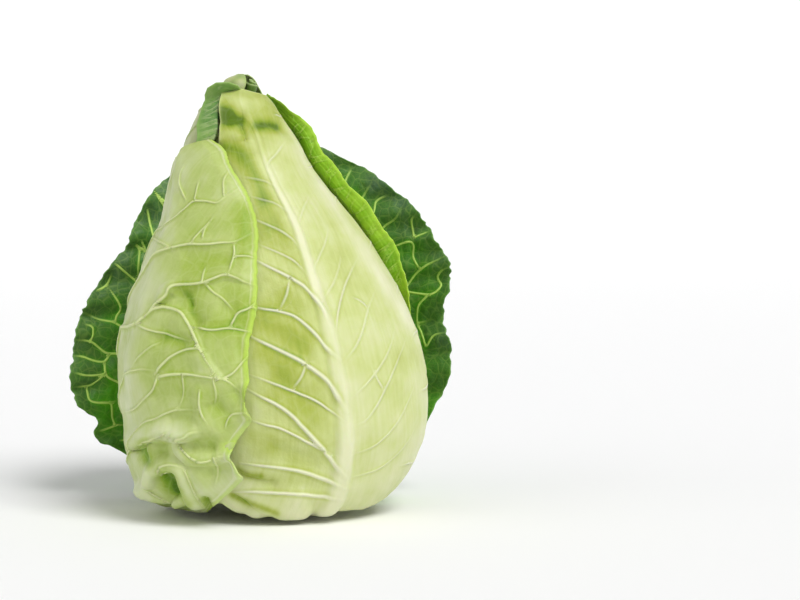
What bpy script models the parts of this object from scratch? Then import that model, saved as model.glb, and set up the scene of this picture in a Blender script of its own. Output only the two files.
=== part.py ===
"""A pointed cabbage that stands on its cut stalk.

A packed heart comes to a point and four leaves wrap it: one with its folded tip over the point, a pale
one in front, one on the left and a looser one behind on the right. A large open leaf stands at the back.
X runs to the right and Y away from somebody who faces the head. The origin is the centre of the stalk's
cut face. Sizes are in millimetres until a mesh is made.
"""

from functools import partial

import bmesh
import bpy
import numpy as np

METRES = 0.001
SHARP_ANGLE = 50.0

# The heart in outline, from the stalk up. Girth measures the way up the outside: under the head it counts
# the way out from the stalk, and from 30 up it is the height. Left and right are seen from the front.
#                 girth, height, left, right
HEAD_OUTLINE = (
    (-50.0, 14.5, -14.0, 14.0),
    (-27.0, 8.6, -38.0, 37.0),
    (-8.0, 8.4, -54.0, 53.0),
    (10.0, 15.0, -62.5, 63.0),
    (30.0, 30.0, -69.0, 72.0),
    (55.0, 55.0, -78.0, 78.7),
    (80.0, 80.0, -80.5, 77.2),
    (105.0, 105.0, -76.5, 69.7),
    (130.0, 130.0, -68.0, 56.7),
    (155.0, 155.0, -57.5, 40.2),
    (170.0, 170.0, -53.5, 27.5),
    (185.0, 185.0, -51.0, 16.3),
    (200.0, 200.0, -46.3, 8.4),
    (212.0, 212.0, -41.0, 0.7),
    (220.0, 220.0, -36.0, -3.5),
    (226.0, 226.0, -29.0, -6.5),
    (230.0, 230.0, -25.0, -9.0),
    (234.0, 234.0, -21.8, -12.0),
    (236.2, 236.2, -18.2, -15.8),
)
HEAD_DEPTH = 0.9
HALF_STEP = 0.5

# The heart lies under the leaves. The edges of its own two outermost leaves wind up it as low steps.
HEART_LIFT = -1.5
HEART_COLUMNS, HEART_ROWS = 32, 22
HEART_EDGES = 2
HEART_STEP = 1.4
HEART_DEGREES_PER_MM = 1.1
HEART_POINT = 0.4
HEART_SPREAD = (-0.25, 1.25)
HEART_STEP_RISES, HEART_STEP_FALLS = (20, 60), (228, 235)

STALK_RADIUS = 19.0
STALK_HEIGHT = 13.0
STALK_SHOULDER = 4.0
STALK_CHAMFER = 1.0
STALK_SIDES = 28

# The viewer's eye, which the folds drawn from the front are laid out for.
EYE_RIGHT = 67.5
EYE_HEIGHT = 114.5
EYE_DISTANCE = 1200.0

# A blade's thickness, at the stalk and beyond. Side ribs are that share of the midrib's height.
BLADE_THICKNESS = 1.2
PETIOLE_THICKNESS = 4.2
PETIOLE_ENDS = (0.02, 0.15)
THICKEST = 5.6
MIDRIB_STARTS = (0.0, 0.17)
MIDRIB_TAPER = 1.1
SIDE_RIB_HEIGHT = 0.32
SIDE_RIB_ENDS = (0.35, 0.95)
RIB_FOOT = 0.011
ROW_STEP = 0.03

# How steeply the side ribs bend up from the midrib, and where a waved edge starts.
RIB_CLIMB = 1.5
OUTER_RIB_CLIMB = 1.4
WAVE_STARTS = (0.1, 0.3)
LEAST_SPREAD = 10.0

# Where a leaf's columns lie, from 0 at the midrib to 1 at the margin.
PLAIN_SIDE = (0.05, 0.18, 0.34, 0.5, 0.66, 0.8, 0.91, 1.0)
HIDDEN_SIDE = (0.05, 0.25, 0.5, 0.75, 1.0)
FOLDED_SIDE = (0.05, 0.18, 0.34, 0.5, 0.64, 0.74, 0.8, 0.84, 0.88, 0.92, 0.96, 1.0)
CRUMPLED_SIDE = (0.05, 0.16, 0.28, 0.39, 0.48, 0.57, 0.66, 0.75, 0.83, 0.9, 0.95, 1.0)
LEAF_ROOT = -40.0

# Each edge of a leaf is a list of (share of the leaf's length, degrees round the head, girth).
# Zero degrees is the front and the right side is positive.
# Turned margins: side, first and last share of the length, the share that they take to turn, widths at
# even steps from first to last, angle, bend radius. Waves: their height and how many from root to tip.
# Folds, seen from the front: height, half width above or left of the line and on its other side, then
# the line's points (right, up). More rows: where a fold starts or ends and the mesh needs them.
TIP_LEAF = {
    "midrib": ((0, -148, LEAF_ROOT), (0.12, -149, -8), (0.25, -150, 30), (0.4, -145, 70),
               (0.55, -140, 112), (0.7, -135, 150), (0.85, -125, 192), (0.93, -115, 216), (1, -100, 235.6)),
    "left": ((0, -159, LEAF_ROOT), (0.12, -164, 4), (0.25, -196, 60), (0.4, -218, 110),
             (0.55, -230, 150), (0.7, -236, 182), (0.85, -242, 208), (0.93, -245, 222), (1, -250, 235.4)),
    "right": ((0, -139, LEAF_ROOT), (0.12, -133, 4), (0.25, -104, 58), (0.4, -80, 108),
              (0.52, -66, 146), (0.58, -56, 164), (0.64, -34, 181), (0.7, -12, 197), (0.74, -1, 203.5),
              (0.79, 4, 210), (0.84, 5, 215.5), (0.89, 4, 221), (0.94, 10, 227), (1, 14, 235.4)),
    "turned": (("right", 0.57, 0.9, 0.025, (0.5, 11.0, 15.0, 15.0, 14.0, 9.0, 3.0), 163.0, 1.6),),
    "wave": (0.0, 0.0),
    "folds": (),
    "columns": (HIDDEN_SIDE, FOLDED_SIDE),
    "more_rows": (0.57, 0.585, 0.615, 0.632, 0.925),
    "ribs": 8,
    "first_rib": 0.06,
    "rib_height": 1.6,
}
FRONT_LEAF = {
    "midrib": ((0, 32, LEAF_ROOT), (0.12, 31, -10), (0.25, 29, 24), (0.4, 27.5, 62),
               (0.55, 25.5, 100), (0.7, 24, 140), (0.85, 24, 180), (0.93, 20, 204), (1, 4, 226)),
    "left": ((0, 8, LEAF_ROOT), (0.07, -14, -8), (0.12, -26, 13), (0.2, -40, 42), (0.28, -50, 72),
             (0.4, -58, 108), (0.55, -56, 142), (0.7, -44, 172), (0.78, -26, 188), (0.83, -14.5, 199),
             (0.88, -13.5, 207), (0.93, -15, 214), (1, -20, 221)),
    "right": ((0, 54, LEAF_ROOT), (0.12, 80, 8), (0.25, 103, 58), (0.4, 116, 104), (0.55, 122, 140),
              (0.7, 120, 170), (0.85, 100, 203), (0.93, 86, 217), (1, 62, 223)),
    "turned": (),
    "wave": (0.0, 0.0),
    "folds": (
        (-2.6, 2.0, 3.0, ((-28.6, 14.0), (-23.2, 11.9), (-14.6, 7.0), (-5.9, 3.2), (4.9, 0.5))),
        (-2.0, 1.8, 3.5, ((-23.2, 27.0), (-15.7, 22.7), (-9.2, 21.1), (2.7, 20.0))),
        (3.0, 9.0, 9.0, ((-17.3, 2.7), (3.8, 2.2), (21.6, 4.3))),
        (-2.3, 3.4, 3.4, ((-32.9, 213.3), (-25.4, 212.8), (-13.5, 213.8))),
        (-1.6, 2.0, 2.6, ((-10.3, 209.5), (-4.9, 210.0), (0.5, 208.4), (8.1, 202.0))),
        (-1.0, 6.5, 6.5, ((-7.0, 184.7), (-1.6, 157.7), (3.8, 135.0))),
        (-1.0, 6.0, 6.0, ((-7.0, 102.6), (5.4, 95.6), (18.9, 86.4))),
        (-0.9, 6.0, 6.0, ((-7.0, 81.0), (8.1, 71.3), (23.2, 56.2))),
    ),
    "columns": (PLAIN_SIDE, PLAIN_SIDE),
    "more_rows": (),
    "ribs": 8,
    "first_rib": 0.06,
    "rib_height": 4.2,
}
LEFT_LEAF = {
    "midrib": ((0, -95, LEAF_ROOT), (0.12, -96, -8), (0.25, -98, 26), (0.4, -100, 60),
               (0.55, -101, 96), (0.7, -99, 130), (0.85, -91, 164), (1, -64, 191.5)),
    "left": ((0, -114, LEAF_ROOT), (0.12, -123, 10), (0.25, -152, 58), (0.4, -170, 100),
             (0.55, -175, 138), (0.7, -170, 161), (0.85, -148, 178), (1, -100, 190)),
    "right": ((0, -74, LEAF_ROOT), (0.05, -56, -24), (0.1, -34, -4), (0.15, -25, 10), (0.19, -15, 24),
              (0.22, -9, 36), (0.25, -12, 46), (0.28, -5, 60), (0.31, -5, 72), (0.35, -5, 86),
              (0.45, -1.5, 112), (0.55, 0, 134), (0.65, 2, 156), (0.75, 0, 172), (0.85, -7, 187),
              (0.93, -11, 193.5), (1, -22, 198)),
    "turned": (("right", 0.275, 0.325, 0.017, (7.0, 7.0), 60.0, 5.0),
               ("right", 0.21, 0.255, 0.015, (7.0, 7.0), 60.0, 5.0)),
    "wave": (0.6, 6.5),
    "folds": (
        (-7.0, 4.6, 4.6, ((-61.6, 24.8), (-60.5, 19.4), (-57.2, 13.5), (-52.4, 7.6))),
        (-3.6, 3.6, 3.6, ((-78.3, 32.4), (-73.4, 36.7), (-68.6, 40.0), (-63.2, 41.0))),
        (3.0, 5.5, 2.6, ((-80.5, 33.5), (-74.5, 38.9), (-68.0, 43.7), (-58.9, 45.4), (-50.2, 43.7),
                         (-41.0, 45.9), (-32.9, 44.8), (-24.3, 39.4))),
        (2.4, 3.4, 3.0, ((-68.6, 9.7), (-66.4, 19.4), (-62.1, 25.4), (-56.7, 27.5), (-51.8, 25.4),
                         (-48.6, 17.3), (-44.8, 9.2))),
        (2.6, 3.4, 3.4, ((-75.1, 15.1), (-67.5, 12.4), (-60.5, 10.3), (-54.5, 7.0))),
        (-3.0, 3.4, 3.4, ((-39.4, 14.0), (-37.8, 7.6), (-35.1, 0.0))),
        (-2.0, 4.5, 4.5, ((-47.0, 38.9), (-38.3, 37.3), (-29.7, 35.6))),
        (2.2, 9.0, 3.0, ((-41.0, 70.2), (-41.0, 63.7), (-40.5, 57.2), (-38.3, 50.8), (-34.0, 45.4))),
        (1.9, 3.0, 7.0, ((-57.8, 113.4), (-51.8, 111.2), (-47.0, 105.8), (-43.2, 97.2), (-38.3, 86.4),
                         (-30.2, 76.7))),
        (1.7, 5.0, 2.8, ((-63.2, 111.2), (-57.8, 119.9), (-52.4, 124.7), (-37.8, 126.9), (-25.4, 130.1))),
        (-2.4, 6.5, 6.5, ((-52.4, 121.5), (-47.0, 114.5), (-40.5, 101.0))),
        (-1.2, 6.0, 6.0, ((-72.9, 96.1), (-62.1, 104.8), (-52.4, 102.6), (-48.1, 94.0))),
    ),
    "columns": (PLAIN_SIDE, CRUMPLED_SIDE),
    "more_rows": (),
    "ribs": 8,
    "first_rib": 0.06,
    "rib_height": 4.6,
}
RIGHT_LEAF = {
    "midrib": ((0, 145, LEAF_ROOT), (0.12, 147, -8), (0.25, 150, 28), (0.4, 151, 65),
               (0.55, 151, 105), (0.7, 150, 143), (0.85, 147, 181), (1, 138, 218)),
    "left": ((0, 131, LEAF_ROOT), (0.12, 114, 12), (0.25, 110, 56), (0.4, 109, 98), (0.5, 104, 124),
             (0.6, 98, 146), (0.72, 96, 170), (0.85, 98, 197), (0.93, 100, 212), (1, 118, 224)),
    "right": ((0, 158, LEAF_ROOT), (0.12, 163, 8), (0.25, 194, 58), (0.4, 210, 104),
              (0.55, 216, 144), (0.7, 216, 175), (0.85, 210, 200), (1, 178, 223)),
    "turned": (("left", 0.42, 1.0, 0.14, (13.0, 10.0), 72.0, 6.0),),
    "wave": (0.7, 9.5),
    "folds": (),
    "columns": (PLAIN_SIDE, HIDDEN_SIDE),
    "more_rows": (),
    "ribs": 8,
    "first_rib": 0.06,
    "rib_height": 4.6,
}

# How far the leaves stand off the head's form, and the turns and girths between which that changes.
ROOT_LIFT, ROOT_GIRTH = 1.0, (-22, 22)
TIP_LIFT, TIP_TURN, TIP_RISES, TIP_FALLS = 3.0, (-95, -45), (226, 230), (230, 235.4)
FRONT_LIFT, FRONT_TIP_LIFT = 2.6, 2.4
FRONT_TURN, FRONT_RISES, FRONT_FALLS = (30, 75), (190, 207), (219, 226)
RIGHT_LIFT, RIGHT_TIP_LIFT, RIGHT_FALLS = 6.2, 2.6, (196, 226)
LEFT_LIFT, LEFT_OVER_FRONT, OVER_TURN, OVER_RISES = 3.0, 3.8, (-70, -52), (8, 40)
LEFT_FOOT, FOOT_TURN, FOOT_RISES, FOOT_FALLS = 6.5, (-125, -92), (-34, 2), (26, 58)
FOLDS_FACE = (-0.1, 0.35)

# The open leaf at the back: share of its length, then where its rib runs and where its edges come,
# as seen from the front, with the rib's distance behind the stalk's centre.
OUTER_RIB = ((0, 0, 21.5, 7.4), (0.08, 0, 46, 6.6), (0.16, 0, 70, 9), (0.24, -1, 84, 26),
             (0.34, -2, 91, 50), (0.46, -4, 94, 78), (0.58, -6, 94, 107), (0.7, -8, 94, 136),
             (0.82, -10, 97, 164), (0.92, -11, 102, 184), (1, -12, 107, 203))
OUTER_LEFT = ((0, -5, 10.5), (0.08, -9, 12.5), (0.145, -13, 15.5), (0.18, -44, 19), (0.215, -72, 23),
              (0.245, -87, 31), (0.27, -95, 34.5), (0.295, -98, 40), (0.315, -96.5, 45),
              (0.36, -106.5, 54.5), (0.42, -111, 68), (0.48, -109.5, 83), (0.54, -107, 98),
              (0.6, -102, 110), (0.66, -92, 126), (0.72, -80, 141), (0.77, -76.5, 151),
              (0.83, -68, 166), (0.89, -56, 178), (0.95, -38, 191), (1, -20, 197))
OUTER_RIGHT = ((0, 5, 10.5), (0.08, 9, 12.5), (0.145, 13, 15.5), (0.18, 38, 19), (0.225, 68, 30),
               (0.3, 86, 52), (0.36, 95, 72), (0.41, 95.5, 87), (0.45, 92, 95), (0.5, 91.5, 108),
               (0.54, 95, 118), (0.6, 94.5, 130), (0.67, 87, 144), (0.75, 76, 160), (0.83, 59, 174),
               (0.91, 36, 187), (1, 2, 198))
OUTER_CUP = 40.0
OUTER_HALF_WIDTH = 105.0
OUTER_SPREAD = (0.1, 0.3)
OUTER_WAVE = 2.6
OUTER_WAVES = 13.0
OUTER_LEAF = {
    "columns": (PLAIN_SIDE, PLAIN_SIDE),
    "more_rows": (),
    "ribs": 11,
    "first_rib": 0.2,
    "rib_height": 4.4,
}


def smooth_curve(knots, values, at):
    """A smooth curve through the values that never swings past a knot."""
    knots, values = np.asarray(knots, float), np.asarray(values, float)
    at = np.clip(at, knots[0], knots[-1])
    slopes = np.gradient(values, knots)
    rises = np.diff(values) / np.diff(knots)
    steepest = 3 * np.minimum(abs(rises[:-1]), abs(rises[1:])) * (rises[:-1] * rises[1:] > 0)
    slopes[1:-1] = np.clip(slopes[1:-1], -steepest, steepest)
    i = np.clip(np.searchsorted(knots, at) - 1, 0, len(knots) - 2)
    span = knots[i + 1] - knots[i]
    t = (at - knots[i]) / span
    start = (2 * t**3 - 3 * t**2 + 1) * values[i] + (t**3 - 2 * t**2 + t) * span * slopes[i]
    end = (3 * t**2 - 2 * t**3) * values[i + 1] + (t**3 - t**2) * span * slopes[i + 1]
    return start + end


def ease(low, high, x):
    """Zero up to low, one from high, and a smooth step between."""
    t = np.clip((x - low) / (high - low), 0, 1)
    return t * t * (3 - 2 * t)


def head_surface(degrees, girth):
    """Points on the heart's outline form, an oval at every height."""
    stations = np.array(HEAD_OUTLINE).T
    height, left, right = (smooth_curve(stations[0], row, girth) for row in stations[1:])
    half = (right - left) / 2
    turn = np.radians(degrees)
    x = (left + right) / 2 + half * np.sin(turn)
    y = -HEAD_DEPTH * half * np.cos(turn)
    return np.stack([x, y, height], axis=-1)


def head_point(degrees, girth, lift):
    """A point that far above the outline form, along its outward normal."""
    across = head_surface(degrees + HALF_STEP, girth) - head_surface(degrees - HALF_STEP, girth)
    along = head_surface(degrees, girth + HALF_STEP) - head_surface(degrees, girth - HALF_STEP)
    normal = np.cross(across, along)
    normal /= np.linalg.norm(normal, axis=-1, keepdims=True)
    return head_surface(degrees, girth) + normal * lift[..., None], normal


def eye_view(points):
    """Where points are seen from the front, as distances right and up at the stalk's depth."""
    scale = EYE_DISTANCE / (EYE_DISTANCE + points[:, 1])
    right = EYE_RIGHT + (points[:, 0] - EYE_RIGHT) * scale
    up = EYE_HEIGHT + (points[:, 2] - EYE_HEIGHT) * scale
    return np.stack([right, up], axis=-1)


def from_view(right, up, depth):
    """The sideways place and height of what is seen at (right, up) and lies at that depth."""
    scale = (EYE_DISTANCE + depth) / EYE_DISTANCE
    return EYE_RIGHT + (right - EYE_RIGHT) * scale, EYE_HEIGHT + (up - EYE_HEIGHT) * scale


def beside_line(points, line):
    """Each point's distance to a line of straight pieces, and whether it lies left of the line's way."""
    nearest = np.full(len(points), np.inf)
    on_left = np.zeros(len(points), bool)
    for start, end in zip(np.array(line[:-1]), np.array(line[1:])):
        run = end - start
        gap = points - start
        t = np.clip(gap @ run / (run @ run), 0, 1)
        distance = np.linalg.norm(gap - t[:, None] * run, axis=1)
        closer = distance < nearest
        nearest = np.where(closer, distance, nearest)
        on_left = np.where(closer, run[0] * gap[:, 1] - run[1] * gap[:, 0] > 0, on_left)
    return nearest, on_left


def fold_relief(leaf, points, normals):
    """How far the folds pressed into a leaf move its points along their normals."""
    relief = np.zeros(len(points))
    seen = eye_view(points)
    facing = ease(*FOLDS_FACE, -normals[:, 1])
    for height, left_width, right_width, line in leaf["folds"]:
        distance, on_left = beside_line(seen, line)
        width = np.where(on_left, left_width, right_width)
        relief += height * np.exp(-((distance / width) ** 2)) * facing
    return relief


def turned_margin(leaf, side, share, reach, length):
    """The way along a row and the rise off the head where a margin turns outwards."""
    along, rise = reach * length, np.zeros_like(reach)
    for where, first, last, soft, widths, angle, radius in leaf["turned"]:
        if where != side:
            continue
        turn = np.radians(angle) * ease(first, first + soft, share) * (1 - ease(last - soft, last, share))
        turn = np.maximum(turn, 1e-4)
        width = np.interp(share, np.linspace(first, last, len(widths)), widths)
        past = np.maximum(along - (length - width), 0)
        arc = np.minimum(past, radius * turn)
        rest = past - arc
        inwards = past - (radius * np.sin(arc / radius) + rest * np.cos(turn))
        rise += radius * (1 - np.cos(arc / radius)) + rest * np.sin(turn)
        along = along - inwards
    return along / length, rise


def lift_of(leaf, degrees, girth):
    """How far a leaf's inner face stands off the head's form."""
    if leaf is TIP_LEAF:
        lift = TIP_LIFT * ease(*TIP_TURN, degrees) * ease(*TIP_RISES, girth) * (1 - ease(*TIP_FALLS, girth))
    elif leaf is FRONT_LEAF:
        over_tip = ease(*FRONT_RISES, girth) * (1 - ease(*FRONT_FALLS, girth))
        lift = FRONT_LIFT + FRONT_TIP_LIFT * over_tip * (1 - ease(*FRONT_TURN, np.abs(degrees)))
    elif leaf is RIGHT_LEAF:
        lift = RIGHT_LIFT + (RIGHT_TIP_LIFT - RIGHT_LIFT) * ease(*RIGHT_FALLS, girth)
    else:
        over_front = LEFT_OVER_FRONT * ease(*OVER_TURN, degrees) * ease(*OVER_RISES, girth)
        foot = ease(*FOOT_TURN, degrees) * ease(*FOOT_RISES, girth) * (1 - ease(*FOOT_FALLS, girth))
        lift = LEFT_LIFT + over_front + LEFT_FOOT * foot
    return ROOT_LIFT + (lift - ROOT_LIFT) * ease(*ROOT_GIRTH, girth)


def wrapping_leaf(leaf, share, across):
    """Points of a leaf wrapped on the head. Its rows follow the side ribs."""
    reach = np.abs(across)
    side = {key: np.array(leaf[key], float).T for key in ("midrib", "left", "right")}
    rib_turn, rib_girth = (smooth_curve(side["midrib"][0], row, share) for row in side["midrib"][1:])
    degrees, girth, rise = rib_turn.copy(), rib_girth.copy(), np.zeros_like(share)
    for key, chosen in (("left", across < 0), ("right", across >= 0)):
        edge_turn, edge_girth = (smooth_curve(side[key][0], row, share) for row in side[key][1:])
        middle = head_surface((edge_turn + rib_turn) / 2, rib_girth)
        spread = np.linalg.norm(head_surface(edge_turn, edge_girth) - middle, axis=-1)
        spread = spread + np.linalg.norm(middle - head_surface(rib_turn, rib_girth), axis=-1)
        turned, up = turned_margin(leaf, key, share, reach, np.maximum(spread, LEAST_SPREAD))
        climb = 1 - np.maximum(1 - turned, 0) ** RIB_CLIMB
        degrees = np.where(chosen, rib_turn + (edge_turn - rib_turn) * turned, degrees)
        girth = np.where(chosen, rib_girth + (edge_girth - rib_girth) * climb, girth)
        rise = np.where(chosen, up, rise)
    height, count = leaf["wave"]
    rise += height * (1 + np.sin(2 * np.pi * count * share)) * reach**5 * ease(*WAVE_STARTS, share)
    points, normals = head_point(degrees, girth, lift_of(leaf, degrees, girth) + rise)
    return points + normals * fold_relief(leaf, points, normals)[:, None]


def outer_leaf(share, across):
    """Points of the open leaf at the back, cupped round the head and waved along its edge."""
    rib = np.array(OUTER_RIB, float).T
    rib_x, rib_y, rib_z = (smooth_curve(rib[0], row, share) for row in rib[1:])
    reach = np.abs(across)
    x, y, z = rib_x.copy(), rib_y.copy(), rib_z.copy()
    for edge, chosen in ((OUTER_LEFT, across < 0), (OUTER_RIGHT, across >= 0)):
        knots = np.array(edge, float).T
        seen_x, seen_z = (smooth_curve(knots[0], row, share) for row in knots[1:])
        spread = ease(*OUTER_SPREAD, share)
        depth = rib_y - OUTER_CUP * spread * (seen_x / OUTER_HALF_WIDTH) ** 2
        edge_x, edge_z = from_view(seen_x, seen_z, depth)
        here_x = rib_x + (edge_x - rib_x) * reach
        here_z = rib_z + (edge_z - rib_z) * (1 - (1 - reach) ** OUTER_RIB_CLIMB)
        here_y = rib_y + (depth - rib_y) * reach**2
        wave = OUTER_WAVE * spread * reach**3 * np.sin(2 * np.pi * OUTER_WAVES * share)
        x = np.where(chosen, here_x, x)
        y = np.where(chosen, here_y + wave, y)
        z = np.where(chosen, here_z, z)
    return np.stack([x, y, z], axis=-1)


def row_shares(leaf):
    """The rows of a leaf's mesh: three close together for each side rib, and a few between ribs."""
    rows = [0.0, 0.94, 0.97, 1.0] + list(leaf["more_rows"])
    rows += list(np.arange(ROW_STEP, leaf["first_rib"] - 0.02, ROW_STEP))
    places = np.linspace(leaf["first_rib"], 0.9, leaf["ribs"])
    for place in places:
        rows += [place - RIB_FOOT, place, place + RIB_FOOT]
    rows += list((places[:-1] + places[1:]) / 2)
    return np.array(sorted(rows)), places


def blade_thickness(share, reach, on_rib, height):
    """The blade is thick where it leaves the stalk and carries a midrib and side ribs on its outer face."""
    petiole = (PETIOLE_THICKNESS - BLADE_THICKNESS) * (1 - ease(*PETIOLE_ENDS, share)) * (1 - 0.5 * reach**2)
    midrib = height * (1 - share) ** MIDRIB_TAPER * ease(*MIDRIB_STARTS, share) * (reach < PLAIN_SIDE[0] / 2)
    side_rib = SIDE_RIB_HEIGHT * height * on_rib * (1 - ease(*SIDE_RIB_ENDS, reach)) * (1 - 0.5 * share)
    return np.minimum(BLADE_THICKNESS + petiole + np.maximum(midrib, side_rib), THICKEST)


def leaf_object(name, leaf, shape, material, faces_back=False):
    """A grid laid out by a leaf's shape, given its thickness and ribs by Solidify."""
    rows, rib_places = row_shares(leaf)
    left_side, right_side = leaf["columns"]
    columns = np.array([-reach for reach in reversed(left_side)] + [0.0] + list(right_side))
    bpy.ops.mesh.primitive_grid_add(x_subdivisions=len(columns) - 1, y_subdivisions=len(rows) - 1, size=2)
    blade = bpy.context.active_object
    blade.name = blade.data.name = name
    place = np.array([v.co[:2] for v in blade.data.vertices])
    column = np.rint((place[:, 0] + 1) / 2 * (len(columns) - 1)).astype(int)
    row = np.rint((place[:, 1] + 1) / 2 * (len(rows) - 1)).astype(int)
    share, across = rows[row], columns[column]
    points = shape(share, across)
    blade.data.vertices.foreach_set("co", (points * METRES).ravel())
    if faces_back:
        blade.data.flip_normals()
    on_rib = np.abs(share[:, None] - rib_places).min(axis=1) < RIB_FOOT / 2
    thickness = blade_thickness(share, np.abs(across), on_rib, leaf["rib_height"])
    group = blade.vertex_groups.new(name="thickness")
    for index, weight in enumerate(thickness / THICKEST):
        group.add([index], float(weight), "REPLACE")
    blade.modifiers.new("Triangulate", "TRIANGULATE").quad_method = "FIXED"
    solidify = blade.modifiers.new("Solidify", "SOLIDIFY")
    solidify.thickness = THICKEST * METRES
    solidify.offset = 1.0
    solidify.vertex_group = "thickness"
    finish(blade, material)
    return blade


def finish(obj, material):
    """Shades an object smooth, gives it its material and puts it in the cabbage's collection."""
    obj.data.shade_smooth()
    obj.data.set_sharp_from_angle(angle=np.radians(SHARP_ANGLE))
    obj.data.materials.append(material)
    for collection in obj.users_collection:
        collection.objects.unlink(obj)
    bpy.data.collections["pointed_cabbage"].objects.link(obj)


def make_heart(material):
    """The packed inner leaves: a pointed ball set on the stalk, with the edge of one leaf round its tip."""
    bpy.ops.mesh.primitive_uv_sphere_add(segments=HEART_COLUMNS, ring_count=HEART_ROWS, radius=1)
    heart = bpy.context.active_object
    heart.name = heart.data.name = "heart"
    ball = np.array([v.co[:] for v in heart.data.vertices])
    up = np.arccos(np.clip(-ball[:, 2], -1, 1)) / np.pi
    degrees = np.degrees(np.arctan2(ball[:, 0], -ball[:, 1]))
    first, last = HEAD_OUTLINE[0][0], HEAD_OUTLINE[-1][0]
    girth = first + (last - first) * ease(*HEART_SPREAD, up) / ease(*HEART_SPREAD, 1.0)
    apart = 360 / HEART_EDGES
    wrap = ((degrees + HEART_DEGREES_PER_MM * girth) % apart) / apart
    stepped = ease(*HEART_STEP_RISES, girth) * (1 - ease(*HEART_STEP_FALLS, girth))
    lift = HEART_LIFT - HEART_STEP * wrap * stepped
    points, _ = head_point(degrees, girth, lift)
    poles = np.hypot(ball[:, 0], ball[:, 1]) < 1e-4
    bottom = poles & (ball[:, 2] < 0)
    points[bottom] = (0.0, 0.0, HEAD_OUTLINE[0][1] - HEART_LIFT)
    top = poles & (ball[:, 2] > 0)
    tip = HEAD_OUTLINE[-1]
    points[top] = ((tip[2] + tip[3]) / 2, 0.0, tip[1] + HEART_LIFT + HEART_POINT)
    heart.data.vertices.foreach_set("co", (points * METRES).ravel())
    finish(heart, material)
    return heart


def make_stalk(material):
    """The cut stalk: a short round stub with a flat cut face below and a sloping shoulder under the heart."""
    profile = (
        (0.0, STALK_HEIGHT),
        (STALK_RADIUS - STALK_SHOULDER, STALK_HEIGHT),
        (STALK_RADIUS, STALK_HEIGHT - STALK_SHOULDER),
        (STALK_RADIUS, STALK_CHAMFER),
        (STALK_RADIUS - STALK_CHAMFER, 0.0),
        (0.0, 0.0),
    )
    mesh = bpy.data.meshes.new("stalk")
    shape = bmesh.new()
    corners = [shape.verts.new((r * METRES, 0, z * METRES)) for r, z in profile]
    for start, end in zip(corners, corners[1:]):
        shape.edges.new((start, end))
    shape.to_mesh(mesh)
    shape.free()
    stalk = bpy.data.objects.new("stalk", mesh)
    bpy.context.scene.collection.objects.link(stalk)
    screw = stalk.modifiers.new("Screw", "SCREW")
    screw.steps = screw.render_steps = STALK_SIDES
    screw.use_merge_vertices = True
    screw.merge_threshold = 0.1 * METRES
    finish(stalk, material)
    return stalk


def leaf_material(name, colour, roughness):
    """A plain waxy leaf finish."""
    material = bpy.data.materials.new(name)
    material.use_nodes = True
    shader = material.node_tree.nodes["Principled BSDF"]
    shader.inputs["Base Color"].default_value = (*colour, 1.0)
    shader.inputs["Roughness"].default_value = roughness
    shader.inputs["Metallic"].default_value = 0.0
    return material


def main():
    for obj in list(bpy.data.objects):
        bpy.data.objects.remove(obj)
    bpy.context.scene.collection.children.link(bpy.data.collections.new("pointed_cabbage"))

    make_stalk(leaf_material("cut_stalk", (0.78, 0.76, 0.55), 0.6))
    make_heart(leaf_material("heart_leaf", (0.56, 0.66, 0.30), 0.45))
    wraps = (
        ("tip_leaf", TIP_LEAF, (0.52, 0.64, 0.28)),
        ("front_leaf", FRONT_LEAF, (0.66, 0.72, 0.40)),
        ("left_leaf", LEFT_LEAF, (0.56, 0.67, 0.30)),
        ("right_leaf", RIGHT_LEAF, (0.30, 0.55, 0.05)),
    )
    for name, leaf, colour in wraps:
        leaf_object(name, leaf, partial(wrapping_leaf, leaf), leaf_material(name + "_green", colour, 0.45))
    dark_green = leaf_material("outer_leaf_green", (0.04, 0.13, 0.03), 0.5)
    leaf_object("outer_leaf", OUTER_LEAF, outer_leaf, dark_green, faces_back=True)


main()
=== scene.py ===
# %% [markdown]
# # A pointed cabbage, dressed
# The frame is a pointed cabbage that was modelled as plain solids: a heart, four leaves wrapped round it,
# one large open leaf behind and a cut stalk. This lesson gives each piece the surface of the real thing.
# A cabbage leaf is a thin waxy sheet on a branching net of veins. So each leaf is made again as a fine
# sheet in the same place, a Geometry Nodes tree raises its veins, and one leaf material colours it.

# %% Start with the frame
import math

import bpy
import numpy as np
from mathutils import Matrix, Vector
from mathutils.kdtree import KDTree


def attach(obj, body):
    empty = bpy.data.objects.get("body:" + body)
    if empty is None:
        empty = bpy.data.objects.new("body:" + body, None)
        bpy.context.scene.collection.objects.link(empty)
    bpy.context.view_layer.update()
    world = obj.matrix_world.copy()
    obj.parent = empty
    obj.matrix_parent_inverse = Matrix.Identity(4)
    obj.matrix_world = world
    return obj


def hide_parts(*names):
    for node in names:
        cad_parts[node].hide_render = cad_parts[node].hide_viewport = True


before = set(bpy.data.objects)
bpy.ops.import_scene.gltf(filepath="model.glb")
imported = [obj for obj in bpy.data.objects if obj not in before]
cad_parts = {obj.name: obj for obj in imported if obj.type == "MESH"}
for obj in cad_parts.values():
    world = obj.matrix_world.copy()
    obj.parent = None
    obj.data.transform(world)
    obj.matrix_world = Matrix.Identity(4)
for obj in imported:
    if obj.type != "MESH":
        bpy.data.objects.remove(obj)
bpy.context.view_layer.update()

MM = 0.001

# %% [markdown]
# ## The camera
# The photograph looks almost level at the head from a little over a metre away, with a long lens. The eye
# and the lens are worked out first, because the veins are drawn where the photograph shows them: a pixel
# of the photograph is turned into millimetres right of the stalk and up from the table, at its depth.

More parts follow.
